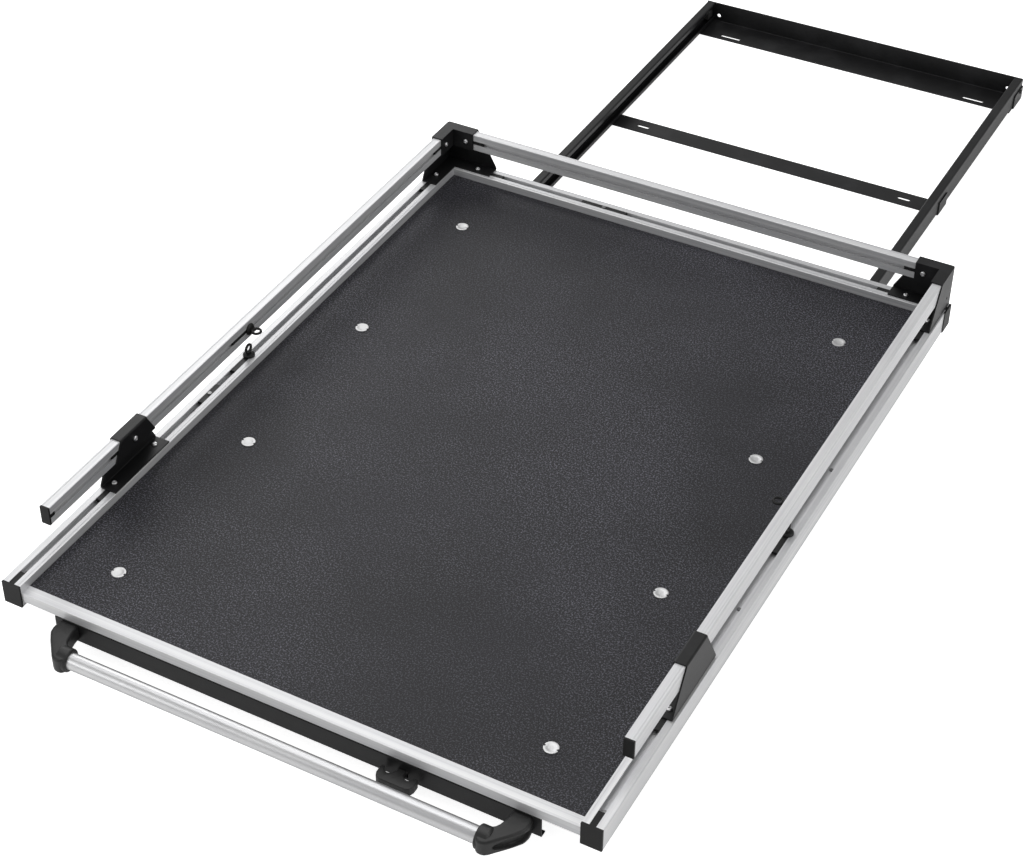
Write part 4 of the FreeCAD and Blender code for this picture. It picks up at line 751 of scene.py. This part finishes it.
@dataclass(frozen=True)
class FingerTrigger:
    """The two-finger release: a rounded bar with two finger notches, and its stem."""

    across: float = 0.2320
    up: float = 0.040
    plate_y: float = PLATE_Y

    def build(self, name: str) -> bpy.types.Object:
        """Make the trigger: a rounded plate whose stem is lower where it runs through the plate.

        Args:
            name: the piece's name.

        Returns:
            The piece.
        """
        turn = np.linspace(0.0, -np.pi, 15)
        notch = np.stack([0.0190 + 0.0108 * np.cos(turn), -0.0064 + 0.0108 * np.sin(turn)], axis=1)
        right = [(0.0255, -0.036), (0.0330, -0.0325), (0.0363, -0.024), (0.0363, -0.0105),
                 (0.0345, -0.0065), (0.0305, -0.0068), *map(tuple, notch), (0.0078, 0.0205)]
        left = [(-across, along) for across, along in reversed(right)]
        plate = SoftPlate(0.009, 0.0012, 0.0010)
        sheet, _ = plate.sheet(plate.outline(right + left), 9)
        low = np.clip((sheet[:, :, 1] + 0.014) / 0.005, 0.0, 1.0)
        sheet[:, :, 2] *= 1.0 - 0.23 * low * (np.abs(sheet[:, :, 0]) < 0.0085)
        skin = Skin(name)
        skin.tube(sheet + np.array([self.across, self.plate_y, self.up]))
        return skin.piece(35.0)


@dataclass
class Wardrobe:
    """Makes each finish once and puts it on nodes and pieces."""

    made: dict[Any, bpy.types.Material] = field(default_factory=dict)

    def get(self, finish: Any) -> bpy.types.Material:
        """A finish's material, made on first use.

        Args:
            finish: the finish.

        Returns:
            Its material.
        """
        if finish not in self.made:
            self.made[finish] = finish.material()
        return self.made[finish]

    def wear(self, thing: bpy.types.Object, finish: Any) -> None:
        """Put a finish in every slot of an object.

        Args:
            thing: a CAD node or a new piece.
            finish: the finish.
        """
        material = self.get(finish)
        if not thing.material_slots:
            thing.data.materials.append(material)
        for slot in thing.material_slots:
            slot.material = material


@dataclass
class SubAssembly:
    """A group of CAD nodes and new pieces that is dressed together."""

    wardrobe: Wardrobe
    nodes: dict[str, bpy.types.Object]

    def dress(self, finish: Any, names: Iterable[str]) -> None:
        """Put one finish on CAD nodes.

        Args:
            finish: the finish.
            names: the nodes' names.
        """
        for name in names:
            self.wardrobe.wear(self.nodes[name], finish)
            LOG.info("dressed %s with %s", name, finish.name)

    def stand_for(
        self, piece: bpy.types.Object, node: str, body: str, slot: str, finish: Any
    ) -> None:
        """Let a new piece stand for a CAD node.

        Args:
            piece: the piece.
            node: the node it stands for.
            body: the body it rides on.
            slot: not used.
            finish: its finish.
        """
        self.wardrobe.wear(piece, finish)
        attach(piece, body)
        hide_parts(node)


def both(pattern: str) -> list[str]:
    """The left and right names of a mirrored pair.

    Args:
        pattern: a name with {} for the side.

    Returns:
        Both names.
    """
    return [pattern.format(side) for side in ("left", "right")]


class BaseFrame(SubAssembly):
    """The black folded-steel frame that is bolted to the truck."""

    def build(self) -> None:
        """Dress the rails, straps and angle, and the rollers between them and the deck."""
        steel = both("base_rail_{}") + ["base_rear_angle", "base_middle_strap", "base_front_strap"]
        self.dress(PowderCoat(), steel)
        rollers = both("base_roller_{}") + both("deck_roller_{}")
        self.dress(Plating("ground_steel", 0.55, 0.25), rollers)
        self.dress(Plating(), ["base_roller_axles", "deck_roller_axles", "travel_stop_pins"])
        self.dress(Rubber(), ["end_bumpers"])


class Deck(SubAssembly):
    """The board in its aluminium frame and the steel under it."""

    bolt_x = 0.447
    first_row = -0.6815
    row_pitch = 0.430
    board_top = 0.090

    def build(self) -> None:
        """Dress the board, the extrusions and what hangs below them."""
        self.dress(PhenolicFilm(), ["deck_board"])
        self.dress(SatinAluminium(), both("side_extrusion_{}"))
        self.dress(SatinAluminium(run=Run.ACROSS), ["rear_extrusion", "front_crossbar"])
        self.dress(Moulding(), ["side_end_caps"])
        under = [f"cross_member_{number}" for number in range(1, 5)] + both("deck_runner_{}")
        self.dress(PowderCoat(), under + ["front_plate"])
        self.dress(Plating(), ["deck_bolt_nuts"])
        self.bolts()
        self.dress(Plating("dark_screw", 0.22, 0.34), ["slot_screws"])
        self.dress(Moulding("slot_strip", 0.012, 0.42), ["slot_inserts", "bracket_nut_strips"])

    def bolts(self) -> None:
        """Put in the eight deck bolts, over the cross members."""
        skin = Skin("deck_bolt_heads")
        for _, side in SIDES:
            for row in range(4):
                along = DECK_Y + self.first_row + self.row_pitch * row
                DeckBolt().add_to(skin, (self.bolt_x * side, along, self.board_top))
        ground = Plating("ground_steel", 0.60, 0.46, 0.10)
        self.stand_for(skin.piece(), "deck_bolts", "deck", "bright_hardware", ground)


class UpperFrame(SubAssembly):
    """The rails above the deck and the brackets that carry them."""

    bracket_y = {"left": -0.431, "right": -0.456}
    bracket_rear = 0.8305
    slot_x = 0.5895
    lip_x = 0.580
    web_x = 0.603
    rear_lip_x = 0.547
    rear_foot_x = 0.517
    foot_half = 0.066
    rail_z = 0.177
    web_z = 0.137
    foot_top = 0.110

    def build(self) -> None:
        """Dress rails, caps, brackets and screws."""
        self.dress(SatinAluminium(), both("upper_rail_{}"))
        self.dress(SatinAluminium(run=Run.ACROSS), ["upper_rail_rear"])
        self.dress(Moulding(), ["rail_end_caps"])
        self.dress(PowderCoat(), both("side_bracket_{}") + both("corner_bracket_{}"))
        self.screws()

    def screws(self) -> None:
        """Put in the brackets' button-headed screws, each on its seat."""
        skin = Skin("bracket_screw_heads")
        inward = (0.0, -1.0, 0.0)
        rear = DECK_Y + self.bracket_rear
        for label, side in SIDES:
            aside = (-side, 0.0, 0.0)
            middle = DECK_Y + self.bracket_y[label]
            seats = [((self.slot_x * side, middle + self.foot_half * turn, self.foot_top), UPWARD)
                     for turn in (-1.0, 1.0)]
            seats += [((self.lip_x * side, middle, self.rail_z), aside),
                      ((self.lip_x * side, rear - 0.059, self.rail_z), aside),
                      ((self.rear_lip_x * side, rear - 0.026, self.rail_z), inward),
                      ((self.slot_x * side, rear - 0.089, self.foot_top), UPWARD),
                      ((self.rear_foot_x * side, rear - 0.023, self.foot_top), UPWARD)]
            for seat, out in seats:
                ButtonHead().add_to(skin, seat, out)
            web = (self.web_x * side, rear - 0.030, self.web_z)
            ButtonHead(0.004, 0.0024, 0.0015).add_to(skin, web, aside)
        zinc = Plating("zinc_screw", 0.78, 0.30)
        self.stand_for(skin.piece(), "bracket_screws", "deck", "bright_hardware", zinc)


class Handle(SubAssembly):
    """The pull tube in its two arms."""

    def build(self) -> None:
        """Dress the tube, the arms and their screws."""
        self.dress(SatinAluminium("drawn_tube", Run.ACROSS, 0.66, 0.38, 0.8), ["handle_tube"])
        for label, side in SIDES:
            arm = HandleArm(side).build(f"cast_arm_{label}")
            finish = Moulding("cast_arm", 0.015, 0.40, 0.36)
            self.stand_for(arm, f"handle_arm_{label}", "deck", "black_casting", finish)
        self.dress(Plating("dark_screw", 0.22, 0.34), ["handle_screws"])


class Latch(SubAssembly):
    """The finger trigger, its rod, the crank and the locking pin."""

    def build(self) -> None:
        """Dress the release and the latch."""
        trigger = FingerTrigger().build("finger_trigger")
        self.stand_for(trigger, "release_trigger", "release", "black_moulding",
                       Moulding("trigger_moulding", 0.018, 0.45, 0.35))
        self.dress(Plating(), ["pull_rod", "latch_pin", "latch_spring", "crank_pivot"])
        self.dress(PowderCoat(), ["bell_crank", "latch_guide"])


class TieDowns(SubAssembly):
    """The four tie-down eyes and the strips that hold them in the slots."""

    eye_y = {"left": -0.033, "right": -0.009}
    rail_x = 0.583
    rail_z = 0.177
    slot_x = 0.5895
    slot_z = 0.107

    def build(self) -> None:
        """Dress eyes and strips."""
        strips = both("tie_down_strip_upper_{}") + both("tie_down_strip_lower_{}")
        finish = Moulding("cast_eye", 0.010, 0.38)
        for label, side in SIDES:
            along = DECK_Y + self.eye_y[label]
            upper, lower = f"eye_upper_{label}", f"eye_lower_{label}"
            seat = (self.rail_x * side, along, self.rail_z)
            eye = CastEye().build(f"{upper}_cast", seat, (-side, 0.0, 0.0), UPWARD)
            self.stand_for(eye, f"tie_down_upper_{label}", upper, "black_casting", finish)
            seat = (self.slot_x * side, along, self.slot_z)
            eye = CastEye().build(f"{lower}_cast", seat, UPWARD, (1.0, 0.0, 0.0))
            self.stand_for(eye, f"tie_down_lower_{label}", lower, "black_casting", finish)
        self.dress(Moulding("slot_strip", 0.012, 0.42), strips)


@dataclass(frozen=True)
class SoftLamp:
    """A square area lamp: its place, the point it faces, its side in metres and its watts."""

    name: str
    place: Triple
    aim: Triple
    size: float
    power: float


LAMPS = (
    SoftLamp("overhead", (-1.0, -1.2, 4.6), (0.0, -1.6, 0.0), 3.6, 78.0),
    SoftLamp("far_left", (-4.2, 2.6, 3.4), (0.0, -1.4, 0.0), 3.2, 92.0),
    SoftLamp("right_side", (4.4, -1.6, 2.6), (0.0, -1.8, 0.1), 3.0, 60.0),
    SoftLamp("front", (-3.4, -5.6, 2.2), (-0.6, -2.2, 0.1), 2.4, 46.0),
)


@dataclass
class Studio:
    """The camera of the photograph, a white floor and soft light."""

    eye: Triple = (1.5697, -4.7747, 2.8405)
    right: Triple = (0.870587, 0.491908, -0.010203)
    down: Triple = (0.303561, -0.553338, -0.775673)
    ahead: Triple = (-0.387205, 0.672194, -0.631053)
    focal_px: float = 2201.97
    centre_px: float = 452.0
    width_px: float = 1024.0
    floor_half: float = 40.0

    def camera(self) -> None:
        """Place the camera: its axes are the photograph's right, up and backward directions."""
        data = bpy.data.cameras.new("photograph")
        data.sensor_width = 36.0
        data.lens = self.focal_px * 36.0 / self.width_px
        data.shift_x = (self.width_px / 2.0 - self.centre_px) / self.width_px
        data.clip_end = 200.0
        camera = bpy.data.objects.new("photograph", data)
        bpy.context.scene.collection.objects.link(camera)
        axes = np.array([self.right, -np.array(self.down), -np.array(self.ahead)]).T
        placed = np.eye(4)
        placed[:3, :3] = axes
        placed[:3, 3] = self.eye
        camera.matrix_world = Matrix(placed.tolist())
        bpy.context.scene.camera = camera

    def world(self) -> None:
        """A pale sky for reflections and light, and plain white where the camera sees it."""
        world = bpy.data.worlds.new("white_tent")
        bpy.context.scene.world = world
        world.use_nodes = True
        tree = world.node_tree
        tree.nodes.clear()
        rays = tree.nodes.new("ShaderNodeLightPath")
        seen = tree.nodes.new("ShaderNodeMath")
        seen.operation = "MAXIMUM"
        tree.links.new(rays.outputs["Is Camera Ray"], seen.inputs[0])
        tree.links.new(rays.outputs["Is Transmission Ray"], seen.inputs[1])
        tent = tree.nodes.new("ShaderNodeBackground")
        tent.inputs["Color"].default_value = (1.0, 1.0, 1.0, 1.0)
        tent.inputs["Strength"].default_value = 0.42
        white = tree.nodes.new("ShaderNodeBackground")
        white.inputs["Color"].default_value = (1.0, 1.0, 1.0, 1.0)
        white.inputs["Strength"].default_value = 1.0
        mix = tree.nodes.new("ShaderNodeMixShader")
        out = tree.nodes.new("ShaderNodeOutputWorld")
        tree.links.new(seen.outputs[0], mix.inputs["Fac"])
        tree.links.new(tent.outputs[0], mix.inputs[1])
        tree.links.new(white.outputs[0], mix.inputs[2])
        tree.links.new(mix.outputs[0], out.inputs["Surface"])

    def floor(self) -> None:
        """A white floor that keeps a soft shadow and shows white to camera and reflections."""
        half = self.floor_half
        mesh = bpy.data.meshes.new("floor")
        corners = [(-half, -half, 0.0), (half, -half, 0.0), (half, half, 0.0), (-half, half, 0.0)]
        mesh.from_pydata(corners, [], [(0, 1, 2, 3)])
        floor = bpy.data.objects.new("floor", mesh)
        floor.location.z = -0.0005
        bpy.context.scene.collection.objects.link(floor)
        tree = FinishTree("floor_white")
        paint = tree.node("ShaderNodeBsdfDiffuse", values={"Color": (0.80, 0.80, 0.80, 1.0)})
        rays = tree.nodes.new("ShaderNodeLightPath")
        seen = Shade(tree, rays.outputs["Is Camera Ray"])
        glossy = Shade(tree, rays.outputs["Is Glossy Ray"])
        through = Shade(tree, rays.outputs["Is Transmission Ray"])
        lift = (seen + through) * 0.86 + glossy * 0.30
        glow = tree.node("ShaderNodeEmission", values={"Strength": lift})
        both_shaders = tree.node("ShaderNodeAddShader", values={0: paint, 1: glow})
        tree.node("ShaderNodeOutputMaterial", values={"Surface": both_shaders})
        mesh.materials.append(tree.material)

    @staticmethod
    def lamp(soft: SoftLamp) -> None:
        """Hang a large soft lamp.

        Args:
            soft: the lamp.
        """
        data = bpy.data.lights.new(soft.name, "AREA")
        data.shape = "SQUARE"
        data.size = soft.size
        data.energy = soft.power
        lamp = bpy.data.objects.new(soft.name, data)
        bpy.context.scene.collection.objects.link(lamp)
        lamp.location = soft.place
        way = Vector(soft.aim) - Vector(soft.place)
        lamp.rotation_euler = way.to_track_quat("-Z", "Y").to_euler()

    def build(self) -> None:
        """Set up the whole studio."""
        scene = bpy.context.scene
        scene.view_settings.view_transform = "Standard"
        self.camera()
        self.world()
        self.floor()
        for lamp in LAMPS:
            self.lamp(lamp)
        LOG.info("studio ready")


def corners(bounds: Any) -> list[list[float]]:
    """Bounds as plain lists.

    Args:
        bounds: a low and a high corner.

    Returns:
        The same as lists of numbers.
    """
    return [[float(value) for value in corner] for corner in bounds]


def main() -> None:
    """Load the frame, dress every sub-assembly and set the studio."""
    logging.basicConfig(level=logging.INFO, format="%(name)s: %(message)s")
    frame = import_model()
    Studio().build()
    wardrobe = Wardrobe()
    for kind in (BaseFrame, Deck, UpperFrame, Handle, Latch, TieDowns):
        kind(wardrobe, frame["nodes"]).build()


if __name__ == "__main__":
    main()
